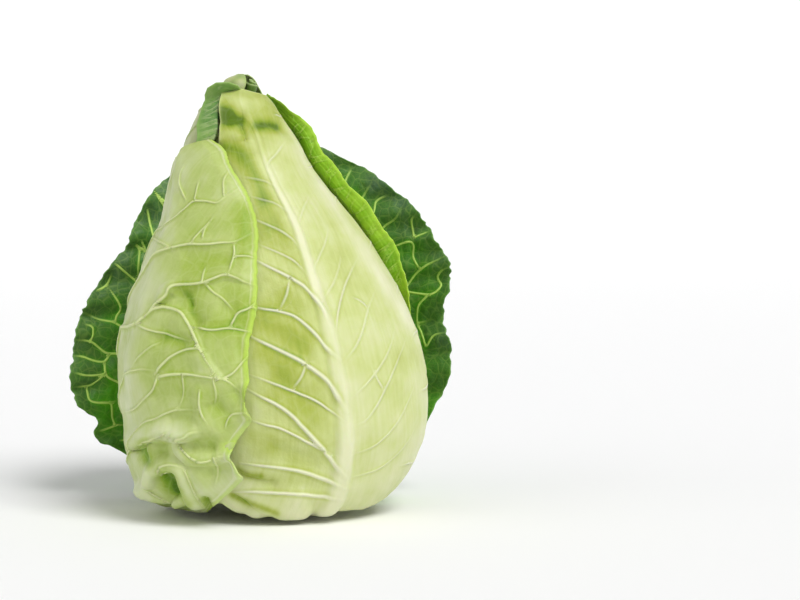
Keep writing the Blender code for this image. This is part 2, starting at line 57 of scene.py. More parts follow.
# %% The photograph's eye, and pixels to millimetres
PHOTO_WIDTH = 800
PIXEL_MM = 0.54
STALK_PIXEL = (275.0, 512.0)
EYE_RIGHT, EYE_HEIGHT, EYE_DISTANCE = 67.5, 114.5, 1200.0
EYE_ELEVATION = 3.0
SENSOR_MM = 36.0


def from_pixel(pixels):
    """Pixels of the photograph as millimetres right and up, at the stalk's depth."""
    pixels = np.asarray(pixels, float)
    right = (pixels[:, 0] - STALK_PIXEL[0]) * PIXEL_MM
    up = (STALK_PIXEL[1] - pixels[:, 1]) * PIXEL_MM
    return np.stack([right, up], axis=-1)


def linked(name, data):
    """A new object in the scene."""
    made = bpy.data.objects.new(name, data)
    bpy.context.scene.collection.objects.link(made)
    return made


camera = linked("camera", bpy.data.cameras.new("camera"))
camera.data.sensor_width = SENSOR_MM
camera.data.lens = SENSOR_MM * EYE_DISTANCE / (PHOTO_WIDTH * PIXEL_MM)
tilt = math.radians(EYE_ELEVATION)
camera.location = np.array((EYE_RIGHT, -EYE_DISTANCE * math.cos(tilt),
                            EYE_HEIGHT + EYE_DISTANCE * math.sin(tilt))) * MM
camera.rotation_euler = (math.pi / 2 - tilt, 0, 0)
bpy.context.scene.camera = camera
print("lens", round(camera.data.lens, 1), "mm")

# %% [markdown]
# ## The floor and the light
# The head stands on a white studio sweep: a floor that curves up all round like a wide shallow bowl, so
# no horizon shows from any side. It is one profile turned round an axis. A large soft light comes from
# the upper right, a weak wide one fills from the left, and the white room lights the rest. Sun lamps with
# a wide angle were chosen, because their soft shadow doesn't depend on how far off they hang. No film
# curve changes the colours.

# %% Colours, and a profile turned round an axis
def colour(code, alpha=1.0):
    """An sRGB hex colour as linear numbers."""
    parts = [int(code[k:k + 2], 16) / 255 for k in (1, 3, 5)]
    return (*(c / 12.92 if c <= 0.04045 else ((c + 0.055) / 1.055) ** 2.4 for c in parts), alpha)


def turned_profile(profile, turns, waver=lambda angle: 1.0):
    """Points and faces of a profile turned round the upright axis. Its first ring is closed flat."""
    points = [(r * waver(a) * math.cos(a), r * waver(a) * math.sin(a), z)
              for r, z in profile for a in np.linspace(0, 2 * math.pi, turns, endpoint=False)]
    faces = [tuple(range(turns))]
    for ring in range(len(profile) - 1):
        for k in range(turns):
            here, beside = ring * turns + k, ring * turns + (k + 1) % turns
            faces.append((here, here + turns, beside + turns, beside))
    return points, faces


print("white", colour("#ffffff"))

# %% The sweep
SWEEP_PROFILE = ((2.2, 0.0), (2.9, 0.06), (3.6, 0.26), (4.5, 0.72), (7.0, 2.3), (10.0, 4.3))
SWEEP_TURNS = 96

sweep_points, sweep_faces = turned_profile(SWEEP_PROFILE, SWEEP_TURNS)
sweep_mesh = bpy.data.meshes.new("white_sweep")
sweep_mesh.from_pydata(sweep_points, [], sweep_faces)
sweep_mesh.shade_smooth()
floor = linked("white_sweep", sweep_mesh)

# Board painted matt white: it scatters light evenly, so the floor shows soft shadows and no gloss.
white_board = bpy.data.materials.new("white_board")
white_board.use_nodes = True
board = white_board.node_tree.nodes["Principled BSDF"]
board.inputs["Base Color"].default_value = (0.94, 0.94, 0.94, 1)
board.inputs["Roughness"].default_value = 0.8
board.inputs["Specular IOR Level"].default_value = 0.1
floor.data.materials.append(white_board)
print("sweep", len(sweep_mesh.polygons), "faces")

# %% Lights and world
LIGHTS = (
    # name, where it shines from, strength, spread in degrees
    ("key_light", (0.46, -0.55, 0.86), 2.3, 30.0),
    ("fill_light", (-0.80, -0.45, 0.45), 0.5, 50.0),
)
WORLD_STRENGTH = 0.33

for name, direction, strength, spread in LIGHTS:
    light = linked(name, bpy.data.lights.new(name, "SUN"))
    light.data.energy = strength
    light.data.angle = math.radians(spread)
    light.rotation_euler = Vector(direction).to_track_quat("Z", "Y").to_euler()

world = bpy.data.worlds.new("white_room")
bpy.context.scene.world = world
world.use_nodes = True
world.node_tree.nodes["Background"].inputs["Color"].default_value = (1, 1, 1, 1)
world.node_tree.nodes["Background"].inputs["Strength"].default_value = WORLD_STRENGTH
bpy.context.scene.view_settings.view_transform = "Standard"
print("lights", [name for name, *_ in LIGHTS])

# %% [markdown]
# ## The head as a form
# Every wrapping leaf lies on one form, an oval at each height that follows the head's outline. The tables
# repeat the frame's own, in millimetres. "Girth" measures the way up the outside: under the head it counts
# the way out from the stalk, and from 30 up it is the height.

# %% The outline form and smooth curves
HEAD_OUTLINE = (
    # girth, height, left, right
    (-50.0, 14.5, -14.0, 14.0),
    (-27.0, 8.6, -38.0, 37.0),
    (-8.0, 8.4, -54.0, 53.0),
    (10.0, 15.0, -62.5, 63.0),
    (30.0, 30.0, -69.0, 72.0),
    (55.0, 55.0, -78.0, 78.7),
    (80.0, 80.0, -80.5, 77.2),
    (105.0, 105.0, -76.5, 69.7),
    (130.0, 130.0, -68.0, 56.7),
    (155.0, 155.0, -57.5, 40.2),
    (170.0, 170.0, -53.5, 27.5),
    (185.0, 185.0, -51.0, 16.3),
    (200.0, 200.0, -46.3, 8.4),
    (212.0, 212.0, -41.0, 0.7),
    (220.0, 220.0, -36.0, -3.5),
    (226.0, 226.0, -29.0, -6.5),
    (230.0, 230.0, -25.0, -9.0),
    (234.0, 234.0, -21.8, -12.0),
    (236.2, 236.2, -18.2, -15.8),
)
HEAD_DEPTH = 0.9
HALF_STEP = 0.5


def smooth_curve(knots, values, at):
    """A smooth curve through the values that never swings past a knot."""
    knots, values = np.asarray(knots, float), np.asarray(values, float)
    at = np.clip(at, knots[0], knots[-1])
    slopes = np.gradient(values, knots)
    rises = np.diff(values) / np.diff(knots)
    steepest = 3 * np.minimum(abs(rises[:-1]), abs(rises[1:])) * (rises[:-1] * rises[1:] > 0)
    slopes[1:-1] = np.clip(slopes[1:-1], -steepest, steepest)
    i = np.clip(np.searchsorted(knots, at) - 1, 0, len(knots) - 2)
    span = knots[i + 1] - knots[i]
    t = (at - knots[i]) / span
    start = (2 * t**3 - 3 * t**2 + 1) * values[i] + (t**3 - 2 * t**2 + t) * span * slopes[i]
    end = (3 * t**2 - 2 * t**3) * values[i + 1] + (t**3 - t**2) * span * slopes[i + 1]
    return start + end


def ease(low, high, x):
    """Zero up to low, one from high, and a smooth step between."""
    t = np.clip((x - low) / (high - low), 0, 1)
    return t * t * (3 - 2 * t)


def head_surface(degrees, girth):
    """Points on the head's form: zero degrees is the front, and the right side is positive."""
    stations = np.array(HEAD_OUTLINE).T
    height, left, right = (smooth_curve(stations[0], row, girth) for row in stations[1:])
    half = (right - left) / 2
    turn = np.radians(degrees)
    x = (left + right) / 2 + half * np.sin(turn)
    return np.stack([x, -HEAD_DEPTH * half * np.cos(turn), height], axis=-1)


def head_point(degrees, girth, lift):
    """Points that far above the form, and the form's outward normals there."""
    across = head_surface(degrees + HALF_STEP, girth) - head_surface(degrees - HALF_STEP, girth)
    along = head_surface(degrees, girth + HALF_STEP) - head_surface(degrees, girth - HALF_STEP)
    normal = np.cross(across, along)
    normal /= np.linalg.norm(normal, axis=-1, keepdims=True)
    return head_surface(degrees, girth) + normal * lift[..., None], normal


def seen(points):
    """Where points appear to the photograph's eye, in millimetres right and up at the stalk's depth."""
    scale = EYE_DISTANCE / (EYE_DISTANCE + points[..., 1])
    right = EYE_RIGHT + (points[..., 0] - EYE_RIGHT) * scale
    up = EYE_HEIGHT + (points[..., 2] - EYE_HEIGHT) * scale
    return np.stack([right, up], axis=-1)


print("head form", HEAD_OUTLINE[-1][1], "mm tall")

# %% [markdown]
# ## The leaves' edges
# A leaf is laid out by three lines from its root to its tip: the midrib and two margins. Each line is a
# few places: the share of the leaf's length, degrees round the head, and girth. Its rows run from the
# midrib out to the margins the way the side ribs of a cabbage leaf do, low at the midrib and higher at
# the margin. The tables were chosen because an edge can then be moved by one number, where a sculpted
# leaf would have to be pushed about by hand. Each leaf's other values are in millimetres too, apart from
# its notches, which are in degrees.

# %% Tip leaf and front leaf
ROOT = -40.0
# A turned stretch of a margin: its side, its first and last share, the share over which it starts and
# ends, its widths on the way, the degrees that it turns, and its radius.
TIP_LEAF = {
    "midrib": ((0, -148, ROOT), (0.12, -149, -8), (0.25, -150, 30), (0.4, -145, 70),
               (0.55, -140, 112), (0.7, -135, 150), (0.85, -125, 192), (0.93, -115, 216),
               (1, -100, 235.6)),
    "left": ((0, -159, ROOT), (0.12, -164, 4), (0.25, -196, 60), (0.4, -218, 110),
             (0.55, -230, 150), (0.7, -236, 182), (0.85, -242, 208), (0.93, -245, 222),
             (1, -250, 235.4)),
    "right": ((0, -139, ROOT), (0.12, -133, 4), (0.25, -104, 58), (0.4, -80, 108),
              (0.52, -66, 146), (0.58, -56, 164), (0.64, -34, 181), (0.7, -12, 197),
              (0.74, -1, 203.5), (0.79, 4, 210), (0.84, 5, 215.5), (0.89, 4, 221),
              (0.92, 5, 224.5), (0.94, 10, 227), (0.96, 14, 229.5), (1, 14, 235.4)),
    "turned": (("right", 0.59, 0.928, 0.02, (0.5, 17.0, 17.0, 12.0), 168.0, 1.5),),
    "midrib_height": 1.4,
}
FRONT_LEAF = {
    "midrib": ((0, 32, ROOT), (0.12, 31, -10), (0.25, 29, 24), (0.4, 27.5, 62),
               (0.55, 25.5, 100), (0.7, 24, 140), (0.85, 24, 180), (0.93, 20, 204), (1, 4, 226)),
    "left": ((0, 8, ROOT), (0.07, -14, -8), (0.12, -26, 13), (0.2, -40, 42), (0.28, -50, 72),
             (0.4, -58, 108), (0.55, -56, 142), (0.7, -44, 172), (0.78, -26, 188), (0.83, -15.5, 199),
             (0.88, -16.5, 207), (0.93, -20, 215), (0.97, -23, 220), (1, -30, 223)),
    "right": ((0, 54, ROOT), (0.12, 80, 8), (0.25, 103, 58), (0.4, 116, 104), (0.55, 122, 140),
              (0.7, 120, 170), (0.85, 100, 203), (0.93, 86, 217), (1, 62, 223)),
    "turned": (),
    "midrib_height": 3.4,
    "midrib_width": (1.4, 6.6),
}
print("inner leaves", 2)

# %% Left leaf and right leaf
# wave: how high the margin waves, and how often. hug and rolled: how far the free edge comes down onto
# the leaf below, and how high its rolled lip stands. notch: how far small notches cut into the margin.
LEFT_LEAF = {
    "midrib": ((0, -95, ROOT), (0.12, -96, -8), (0.25, -98, 26), (0.4, -100, 60),
               (0.55, -101, 96), (0.7, -99, 130), (0.85, -91, 164), (1, -64, 191.5)),
    "left": ((0, -114, ROOT), (0.12, -123, 10), (0.25, -152, 58), (0.4, -170, 100),
             (0.55, -175, 138), (0.7, -170, 161), (0.85, -148, 178), (1, -100, 190)),
    "right": ((0, -74, ROOT), (0.05, -56, -24), (0.1, -34, -4), (0.15, -25, 10), (0.19, -15, 24),
              (0.22, -9, 36), (0.25, -12, 46), (0.28, -5, 60), (0.31, -5, 72), (0.35, -5, 86),
              (0.45, -1.5, 112), (0.55, 0, 134), (0.65, 2, 156), (0.75, 0, 172), (0.85, -7, 187),
              (0.93, -11, 193.5), (1, -22, 198)),
    "turned": (("right", 0.275, 0.325, 0.017, (7.0, 7.0), 60.0, 5.0),
               ("right", 0.21, 0.255, 0.015, (7.0, 7.0), 60.0, 5.0)),
    "wave": (0.6, 6.5),
    "hug": 1.9,
    "notch": 0.3,
    "rolled": 0.6,
    "midrib_height": 3.2,
}
RIGHT_LEAF = {
    "midrib": ((0, 145, ROOT), (0.12, 147, -8), (0.25, 150, 28), (0.4, 151, 65),
               (0.55, 151, 105), (0.7, 150, 143), (0.85, 147, 181), (1, 138, 218)),
    "left": ((0, 131, ROOT), (0.12, 114, 12), (0.25, 110, 56), (0.4, 109, 98), (0.5, 104, 124),
             (0.6, 98, 146), (0.72, 96, 170), (0.85, 98, 197), (0.93, 100, 212), (0.97, 106, 219.5),
             (1, 118, 224)),
    "right": ((0, 158, ROOT), (0.12, 163, 8), (0.25, 194, 58), (0.4, 210, 104),
              (0.55, 216, 144), (0.7, 216, 175), (0.85, 210, 200), (1, 178, 223)),
    "turned": (("left", 0.42, 1.0, 0.14, (13.0, 10.0), 72.0, 6.0),),
    "wave": (0.7, 9.5),
    "notch": 0.8,
    "midrib_height": 3.0,
}
# How close together a leaf's rows are from its foot, at -1, to its tip, at 1.
for leaf in (FRONT_LEAF, LEFT_LEAF, RIGHT_LEAF):
    leaf["rows"] = ((-1, -0.85, -0.75, 1), (1, 1, 1.7, 1.7))
TIP_LEAF["rows"] = ((-1, 0.3, 0.4, 1), (1, 1, 3, 3))
print("outer wrapping leaves", 2)

# %% [markdown]
# ## Folds
# Packed leaves crumple where the head presses them. A fold is drawn as a short line on the photograph,
# in pixels, with a height and a half width on each side of it, in millimetres. A ridge that is wide on one
# side and narrow on the other looks like a leaf folded over itself. A negative height presses a pocket.
# Sculpting would give such folds too, but lines can be checked one by one against the photograph.

# %% Fold lines of the front leaf
# height, half width on the left and on the right of the line, and the line's pixels
FRONT_FOLDS = (
    (-2.6, 2.0, 3.0, ((222, 486), (232, 490), (248, 499), (264, 506), (284, 511))),
    (-2.0, 1.8, 3.5, ((232, 462), (246, 470), (258, 473), (280, 475))),
    (3.0, 9.0, 9.0, ((243, 507), (282, 508), (315, 504))),
    (-2.3, 3.4, 3.4, ((214, 117), (228, 118), (250, 116))),
    (-1.6, 2.0, 2.6, ((256, 124), (266, 123), (276, 126), (290, 138))),
    (-1.2, 2.6, 2.6, ((242, 122), (245, 134), (247, 142))),
    (1.0, 2.4, 2.4, ((218, 140), (230, 133), (246, 136))),
    (-1.0, 7.0, 7.0, ((262, 170), (272, 220), (282, 262))),
    (-1.0, 6.0, 6.0, ((262, 322), (285, 335), (310, 352))),
    (-0.9, 6.0, 6.0, ((262, 362), (290, 380), (318, 408))),
    (-0.9, 6.0, 6.0, ((262, 285), (280, 296), (305, 318))),
    (-0.9, 5.0, 5.0, ((262, 440), (290, 446), (322, 460))),
    (0.9, 5.0, 9.0, ((352, 300), (384, 345), (404, 400))),
    (-0.8, 8.0, 8.0, ((318, 190), (345, 245), (372, 300))),
)
print("front folds", len(FRONT_FOLDS))

# %% Fold lines of the left leaf
LEFT_FOLDS = (
    (2.3, 1.9, 7.0, ((168, 302), (179, 306), (188, 317), (195, 332), (204, 352), (219, 370), (236, 384))),
    (1.9, 5.0, 1.7, ((158, 306), (168, 290), (178, 281), (205, 277), (228, 270), (262, 279))),
    (1.3, 1.7, 1.7, ((160, 298), (166, 290), (171, 283), (178, 278))),
    (-1.5, 2.2, 2.2, ((162, 302), (169, 293), (175, 287))),
    (-1.5, 2.2, 2.2, ((182, 284), (189, 291), (193, 303))),
    (-2.4, 6.5, 6.5, ((178, 287), (188, 300), (200, 325))),
    (-1.5, 5.0, 5.0, ((215, 298), (232, 306), (240, 330))),
    (1.0, 6.0, 2.4, ((146, 263), (165, 247), (186, 240), (218, 238), (252, 229))),
    (-1.2, 6.0, 6.0, ((180, 256), (208, 254), (236, 256))),
    (-1.2, 6.0, 6.0, ((208, 338), (228, 342), (246, 338))),
    (-1.6, 4.0, 4.0, ((150, 336), (168, 331), (184, 334), (196, 340))),
    (-1.0, 5.0, 5.0, ((150, 398), (170, 390), (190, 384))),
    (-1.2, 4.0, 4.0, ((166, 414), (184, 411), (198, 412))),
    (2.0, 10.0, 2.8, ((199, 372), (199, 390), (200, 402), (204, 413), (214, 424), (226, 430))),
    (-1.8, 5.0, 5.0, ((210, 390), (220, 402), (234, 414))),
    (1.0, 3.0, 3.0, ((226, 420), (236, 408), (250, 402), (262, 399))),
    (4.6, 5.5, 1.7, ((124, 452), (137, 441), (149, 432), (163, 427), (182, 430), (199, 426), (212, 428))),
    (-3.6, 3.2, 3.2, ((132, 452), (141, 444), (147, 452), (148, 464))),
    (2.4, 2.4, 2.4, ((153, 436), (151, 452), (151, 468), (154, 486))),
    (-2.6, 4.0, 4.0, ((163, 434), (165, 454))),
    (2.7, 2.8, 1.7, ((176, 428), (180, 444), (194, 454), (209, 454), (227, 449), (250, 448))),
    (-2.6, 4.5, 4.5, ((186, 438), (202, 442), (220, 444))),
    (-9.0, 4.0, 4.0, ((163, 464), (165, 474), (170, 486), (180, 499))),
    (3.9, 3.0, 1.8, ((148, 496), (152, 476), (158, 464), (168, 459), (179, 463), (185, 480), (192, 495),
                     (204, 512))),
    (4.6, 2.6, 2.4, ((134, 482), (148, 488), (162, 494), (176, 499), (168, 506))),
    (-3.8, 2.4, 2.4, ((150, 502), (172, 504), (188, 506), (208, 509))),
    (-4.6, 2.4, 2.4, ((203, 486), (205, 498), (210, 512))),
    (1.4, 3.0, 3.0, ((190, 458), (200, 474), (212, 492))),
    (-1.6, 5.0, 5.0, ((206, 466), (222, 464), (236, 460))),
    (-1.2, 2.5, 2.5, ((240, 376), (246, 386), (250, 396))),
    (-1.4, 2.4, 2.4, ((231, 380), (238, 388), (244, 398))),
)
FRONT_LEAF["folds"], LEFT_LEAF["folds"] = FRONT_FOLDS, LEFT_FOLDS
print("left folds", len(LEFT_FOLDS))

# %% Distances and folds on a sheet
def beside_line(points, line):
    """Each point's distance to a line of straight pieces, its side of it, and how far along it lies."""
    nearest = np.full(len(points), np.inf)
    on_left, along = np.zeros(len(points), bool), np.zeros(len(points))
    pieces = np.linalg.norm(np.diff(line, axis=0), axis=1)
    travelled = np.concatenate([[0], np.cumsum(pieces)])
    for k, (start, end) in enumerate(zip(line[:-1], line[1:])):
        run, gap = end - start, points - start
        t = np.clip(gap @ run / (run @ run), 0, 1)
        distance = np.linalg.norm(gap - t[:, None] * run, axis=1)
        closer = distance < nearest
        nearest = np.where(closer, distance, nearest)
        on_left = np.where(closer, run[0] * gap[:, 1] - run[1] * gap[:, 0] > 0, on_left)
        along = np.where(closer, (travelled[k] + t * pieces[k]) / travelled[-1], along)
    return nearest, on_left, along


def smooth_line(points, step):
    """A smooth line through a few points, with a point about every step."""
    points = np.asarray(points, float)
    along = np.concatenate([[0], np.cumsum(np.linalg.norm(np.diff(points, axis=0), axis=1))])
    at = np.linspace(0, along[-1], max(2, int(along[-1] / step) + 1))
    if len(points) == 2:
        return points[0] + (points[1] - points[0]) * (at / along[-1])[:, None]
    return np.stack([smooth_curve(along, column, at) for column in points.T], axis=-1)


FOLD_END, FOLD_STEP = 0.2, 2.0
FOLD_FACING = (-0.1, 0.35)


def pressed(folds, points, normals):
    """How far the folds move each point along its normal."""
    relief = np.zeros(len(points))
    place = seen(points)
    facing = ease(*FOLD_FACING, -normals[:, 1])
    for height, left_width, right_width, pixels in folds:
        distance, on_left, along = beside_line(place, smooth_line(from_pixel(pixels), FOLD_STEP))
        fade = ease(0, FOLD_END, along) * (1 - ease(1 - FOLD_END, 1, along))
        width = np.where(on_left, left_width, right_width)
        relief += height * fade * np.exp(-((distance / width) ** 2)) * facing
    return relief


print("fold and distance helpers ready")

# %% [markdown]
# ## Wrapping a leaf
# This is the frame's own rule for a wrapping leaf, worked out on a much finer grid. It finds each point's
# place on the head, turns the margins that fold or flare outwards, rolls the lip of a free edge and cuts
# small uneven notches into the margin. Cloth simulation could wrap a leaf too, but a rule keeps every
# edge where the photograph shows it.

# %% Margins that turn outwards
def turned_margin(leaf, side, share, reach, length):
    """The way along a row and the rise off the head where a margin turns outwards."""
    along, rise = reach * length, np.zeros_like(reach)
    for where, first, last, soft, widths, angle, radius in leaf["turned"]:
        if where != side:
            continue
        turn = np.radians(angle) * ease(first, first + soft, share) * (1 - ease(last - soft, last, share))
        turn = np.maximum(turn, 1e-4)
        width = np.interp(share, np.linspace(first, last, len(widths)), widths)
        past = np.maximum(along - (length - width), 0)
        arc = np.minimum(past, radius * turn)
        rest = past - arc
        inwards = past - (radius * np.sin(arc / radius) + rest * np.cos(turn))
        rise += radius * (1 - np.cos(arc / radius)) + rest * np.sin(turn)
        along = along - inwards
    return along / length, rise


FOLD_INSET, FOLD_HALF_WIDTH, FOLD_SOFT = 2.2, 3.2, 0.02


def flap_fold(share, from_edge, across):
    """How far into the tight fold of the tip leaf's flap each point is, from 0 to 1."""
    _, first, last, _, widths, _, _ = TIP_LEAF["turned"][0]
    middle = np.interp(share, np.linspace(first, last, len(widths)), widths) - FOLD_INSET
    fold = np.exp(-(((from_edge - middle) / FOLD_HALF_WIDTH) ** 2)) * (across > 0)
    fold = fold * ease(first - FOLD_SOFT, first + FOLD_SOFT, share)
    return fold * (1 - ease(last, last + FOLD_SOFT, share))


NOTCHES, SMALL_NOTCHES = 31, 53


def nibbled(share):
    """How a leaf's margin runs in and out in small uneven notches, from about -1 to 1."""
    swing = 2 * np.pi * (NOTCHES * share + 0.3 * np.sin(2 * np.pi * 7 * share))
    return 0.6 * np.sin(swing) + 0.4 * np.sin(2 * np.pi * SMALL_NOTCHES * share + 1.3)


print("notches down a leaf", NOTCHES)

# %% How the leaves lie over each other
TIP_LIFT = 3.0
FRONT_LIFT, FRONT_OVER_TIP = 2.6, 1.9
LEFT_LIFT, LEFT_OVER_FRONT, LEFT_FOOT = 3.0, 3.8, 6.5
RIGHT_LIFT, RIGHT_SINKS = 6.2, 3.6


def lift_of(leaf, degrees, girth):
    """How far a leaf's inner face stands off the head's form."""
    if leaf is TIP_LEAF:
        return TIP_LIFT * ease(-95, -45, degrees) * ease(226, 230, girth) * (1 - ease(230, 235.4, girth))
    if leaf is FRONT_LEAF:
        over_tip = ease(190, 207, girth) * (1 - ease(219, 226, girth)) * (1 - ease(30, 75, np.abs(degrees)))
        return FRONT_LIFT + FRONT_OVER_TIP * over_tip
    if leaf is RIGHT_LEAF:
        return RIGHT_LIFT - RIGHT_SINKS * ease(196, 226, girth)
    over_front = LEFT_OVER_FRONT * ease(-70, -52, degrees) * ease(8, 40, girth)
    foot = LEFT_FOOT * ease(-125, -92, degrees) * (1 - ease(26, 58, girth)) * ease(-34, 2, girth)
    return LEFT_LIFT + over_front + foot


print("layers ready")

# %% The wrapping rule
LEAST_REACH = 0.02
FREE_EDGE = (60, 95)
LIP_INSET, LIP_HALF_WIDTH = 1.9, 1.5


def wrapped_sheet(leaf, share, across):
    """Points of a leaf's inner face on the head, their distance from the midrib, and their folds' relief."""
    reach = np.abs(across)
    side = {key: np.array(leaf[key], float).T for key in ("midrib", "left", "right")}
    rib_turn, rib_girth = (smooth_curve(side["midrib"][0], row, share) for row in side["midrib"][1:])
    degrees, girth = rib_turn.copy(), rib_girth.copy()
    rise, from_rib = np.zeros_like(share), np.zeros_like(share)
    for key, chosen in (("left", across < 0), ("right", across >= 0)):
        edge_turn, edge_girth = (smooth_curve(side[key][0], row, share) for row in side[key][1:])
        middle = head_surface((edge_turn + rib_turn) / 2, rib_girth)
        spread = np.linalg.norm(head_surface(edge_turn, edge_girth) - middle, axis=-1)
        spread = np.maximum(spread + np.linalg.norm(middle - head_surface(rib_turn, rib_girth), axis=-1), 10)
        turned, up = turned_margin(leaf, key, share, reach, spread)
        degrees = np.where(chosen, rib_turn + (edge_turn - rib_turn) * turned, degrees)
        climb = 1 - np.maximum(1 - turned, 0) ** 1.5
        girth = np.where(chosen, rib_girth + (edge_girth - rib_girth) * climb, girth)
        rise = np.where(chosen, up, rise)
        from_rib = np.where(chosen, reach * spread, from_rib)
    height, count = leaf.get("wave", (0, 0))
    rise += height * (1 + np.sin(2 * np.pi * count * share)) * reach**5 * ease(0.1, 0.3, share)
    edge_gap = np.where(across > 0, from_rib * (1 / np.maximum(reach, LEAST_REACH) - 1), 99)
    rise -= leaf.get("hug", 0) * (1 - ease(0, 8, edge_gap)) * ease(*FREE_EDGE, girth)
    lip = np.exp(-(((edge_gap - LIP_INSET) / LIP_HALF_WIDTH) ** 2))
    rise += leaf.get("rolled", 0) * lip * ease(*FREE_EDGE, girth)
    degrees = degrees + leaf.get("notch", 0) * nibbled(share) * across * reach**14 * ease(0.3, 0.4, share)
    gap = lift_of(leaf, degrees, girth)
    gap = 1.0 + (gap - 1.0) * ease(-22, 22, girth)
    points, normals = head_point(degrees, girth, gap + rise)
    relief = pressed(leaf.get("folds", ()), points, normals)
    return points + normals * relief[:, None], from_rib, relief


print("wrapping rule ready")

# %% [markdown]
# ## The open leaf
# The leaf behind the head is a free sheet: its foot runs back from the stalk under the head, then the
# blade stands up and is cupped round it. Its edges are traced as seen from the front, and a sine wave
# with an uneven swing scallops them, as a real margin grows longer than the blade can lie flat.

# %% The open leaf's tables
OUTER_RIB = ((0, 0, 21.5, 7.4), (0.08, 0, 46, 6.6), (0.16, 0, 70, 9), (0.24, -1, 84, 26),
             (0.34, -2, 91, 50), (0.46, -4, 94, 78), (0.58, -6, 94, 107), (0.7, -8, 94, 136),
             (0.82, -10, 97, 164), (0.92, -11, 102, 184), (1, -12, 107, 203))
OUTER_LEFT = ((0, -5, 10.5), (0.08, -9, 12.5), (0.145, -13, 15.5), (0.18, -44, 19), (0.215, -72, 23),
              (0.245, -87, 31), (0.27, -95, 34.5), (0.295, -98, 40), (0.315, -96.5, 45),
              (0.36, -106.5, 54.5), (0.42, -111, 68), (0.48, -109.5, 83), (0.54, -107, 98),
              (0.6, -102, 110), (0.66, -92, 126), (0.72, -80, 141), (0.77, -76.5, 151),
              (0.83, -68, 166), (0.89, -56, 178), (0.95, -38, 191), (1, -20, 197))
OUTER_RIGHT = ((0, 5, 10.5), (0.08, 9, 12.5), (0.145, 13, 15.5), (0.18, 38, 19), (0.225, 68, 30),
               (0.3, 86, 52), (0.36, 95, 72), (0.41, 95.5, 87), (0.45, 92, 95), (0.5, 91.5, 108),
               (0.54, 95, 118), (0.6, 94.5, 130), (0.67, 87, 144), (0.75, 76, 160), (0.83, 59, 174),
               (0.91, 36, 187), (1, 2, 198))
OUTER_CUP, OUTER_HALF_WIDTH = 40.0, 105.0
OUTER_WAVE, OUTER_WAVES, OUTER_UNEVEN = 2.6, 13.0, 0.14
OUTER_NOTCH = 0.007
OUTER_LEAF = {"midrib_height": 4.0, "folds": (), "rows": ((-1, -0.7, -0.6, 1), (1, 1, 1.8, 1.8))}
print("open leaf", OUTER_RIB[-1][3], "mm tall")

# %% The open leaf's rule
def outer_sheet(share, across):
    """Points of the open leaf's front face, and each point's distance from the midrib."""
    rib = np.array(OUTER_RIB, float).T
    rib_x, rib_y, rib_z = (smooth_curve(rib[0], row, share) for row in rib[1:])
    reach = np.abs(across)
    x, y, z, from_rib = rib_x.copy(), rib_y.copy(), rib_z.copy(), np.zeros_like(share)
    for edge, chosen in ((OUTER_LEFT, across < 0), (OUTER_RIGHT, across >= 0)):
        knots = np.array(edge, float).T
        seen_x, seen_z = (smooth_curve(knots[0], row, share) for row in knots[1:])
        spread = ease(0.1, 0.3, share)
        depth = rib_y - OUTER_CUP * spread * (seen_x / OUTER_HALF_WIDTH) ** 2
        scale = (EYE_DISTANCE + depth) / EYE_DISTANCE
        edge_x = EYE_RIGHT + (seen_x - EYE_RIGHT) * scale
        edge_z = EYE_HEIGHT + (seen_z - EYE_HEIGHT) * scale
        swing = OUTER_WAVES * share + OUTER_UNEVEN * np.sin(2 * np.pi * 3 * share)
        wave = OUTER_WAVE * spread * reach**3 * np.sin(2 * np.pi * swing)
        out = reach * (1 + OUTER_NOTCH * nibbled(share) * spread * reach**12)
        x = np.where(chosen, rib_x + (edge_x - rib_x) * out, x)
        y = np.where(chosen, rib_y + (depth - rib_y) * reach**2 + wave, y)
        z = np.where(chosen, rib_z + (edge_z - rib_z) * (out - reach + 1 - (1 - reach) ** 1.4), z)
        from_rib = np.where(chosen, np.abs(edge_x - rib_x) * reach, from_rib)
    return np.stack([x, y, z], axis=-1), from_rib


print("open leaf rule ready")

# %% [markdown]
# ## From a rule to a fine sheet
# A sheet is a grid of rows and columns laid out by a rule. The columns are close together where the leaf
# faces the viewer and wider apart behind. The sheet adds the midrib, which is thickest at the foot, and
# the blade gets thin towards its margins and in the flap's tight fold. Each sheet keeps a few numbers a
# point for the material and the node tree: how far it is from the margin and from the midrib, and how far
# along the leaf it is. The frame's own mesh isn't reused, because its facets are far too coarse for veins.

# %% Grids and their spacing
def grid_normals(points):
    """Normals of a grid of points, from its neighbours along and across."""
    across = np.gradient(points, axis=1)
    along = np.gradient(points, axis=0)
    normal = np.cross(across, along)
    return normal / np.maximum(np.linalg.norm(normal, axis=-1, keepdims=True), 1e-9)


def spaced(count, places, densities):
    """Places from -1 to 1, closer together where the density is higher."""
    fine = np.linspace(-1, 1, 2001)
    density = np.interp(fine, places, densities)
    total = np.concatenate([[0], np.cumsum((density[1:] + density[:-1]) / 2)])
    return np.interp(np.linspace(0, total[-1], count), total, fine)


def on_midrib(from_rib, share, at_tip, growth):
    """One on the midrib and nothing beside it. The midrib widens from its tip to its foot."""
    return np.exp(-((from_rib / (at_tip + growth * (1 - share))) ** 4))


print("midrib 4 mm off its middle", round(float(on_midrib(4.0, 0.5, 1.4, 5.2)), 2))

# %% Sheets
ROWS_ALONG = 320
LEAF_LENGTH = 260.0
BLADE, THIN_MARGIN, MARGIN_WIDTH = 1.2, 0.45, 9
PETIOLE = 4.2
FOLD_THINS = 0.6
FLOOR_GAP = 1.2
MIDRIB_WIDTH = (2.2, 6.6)


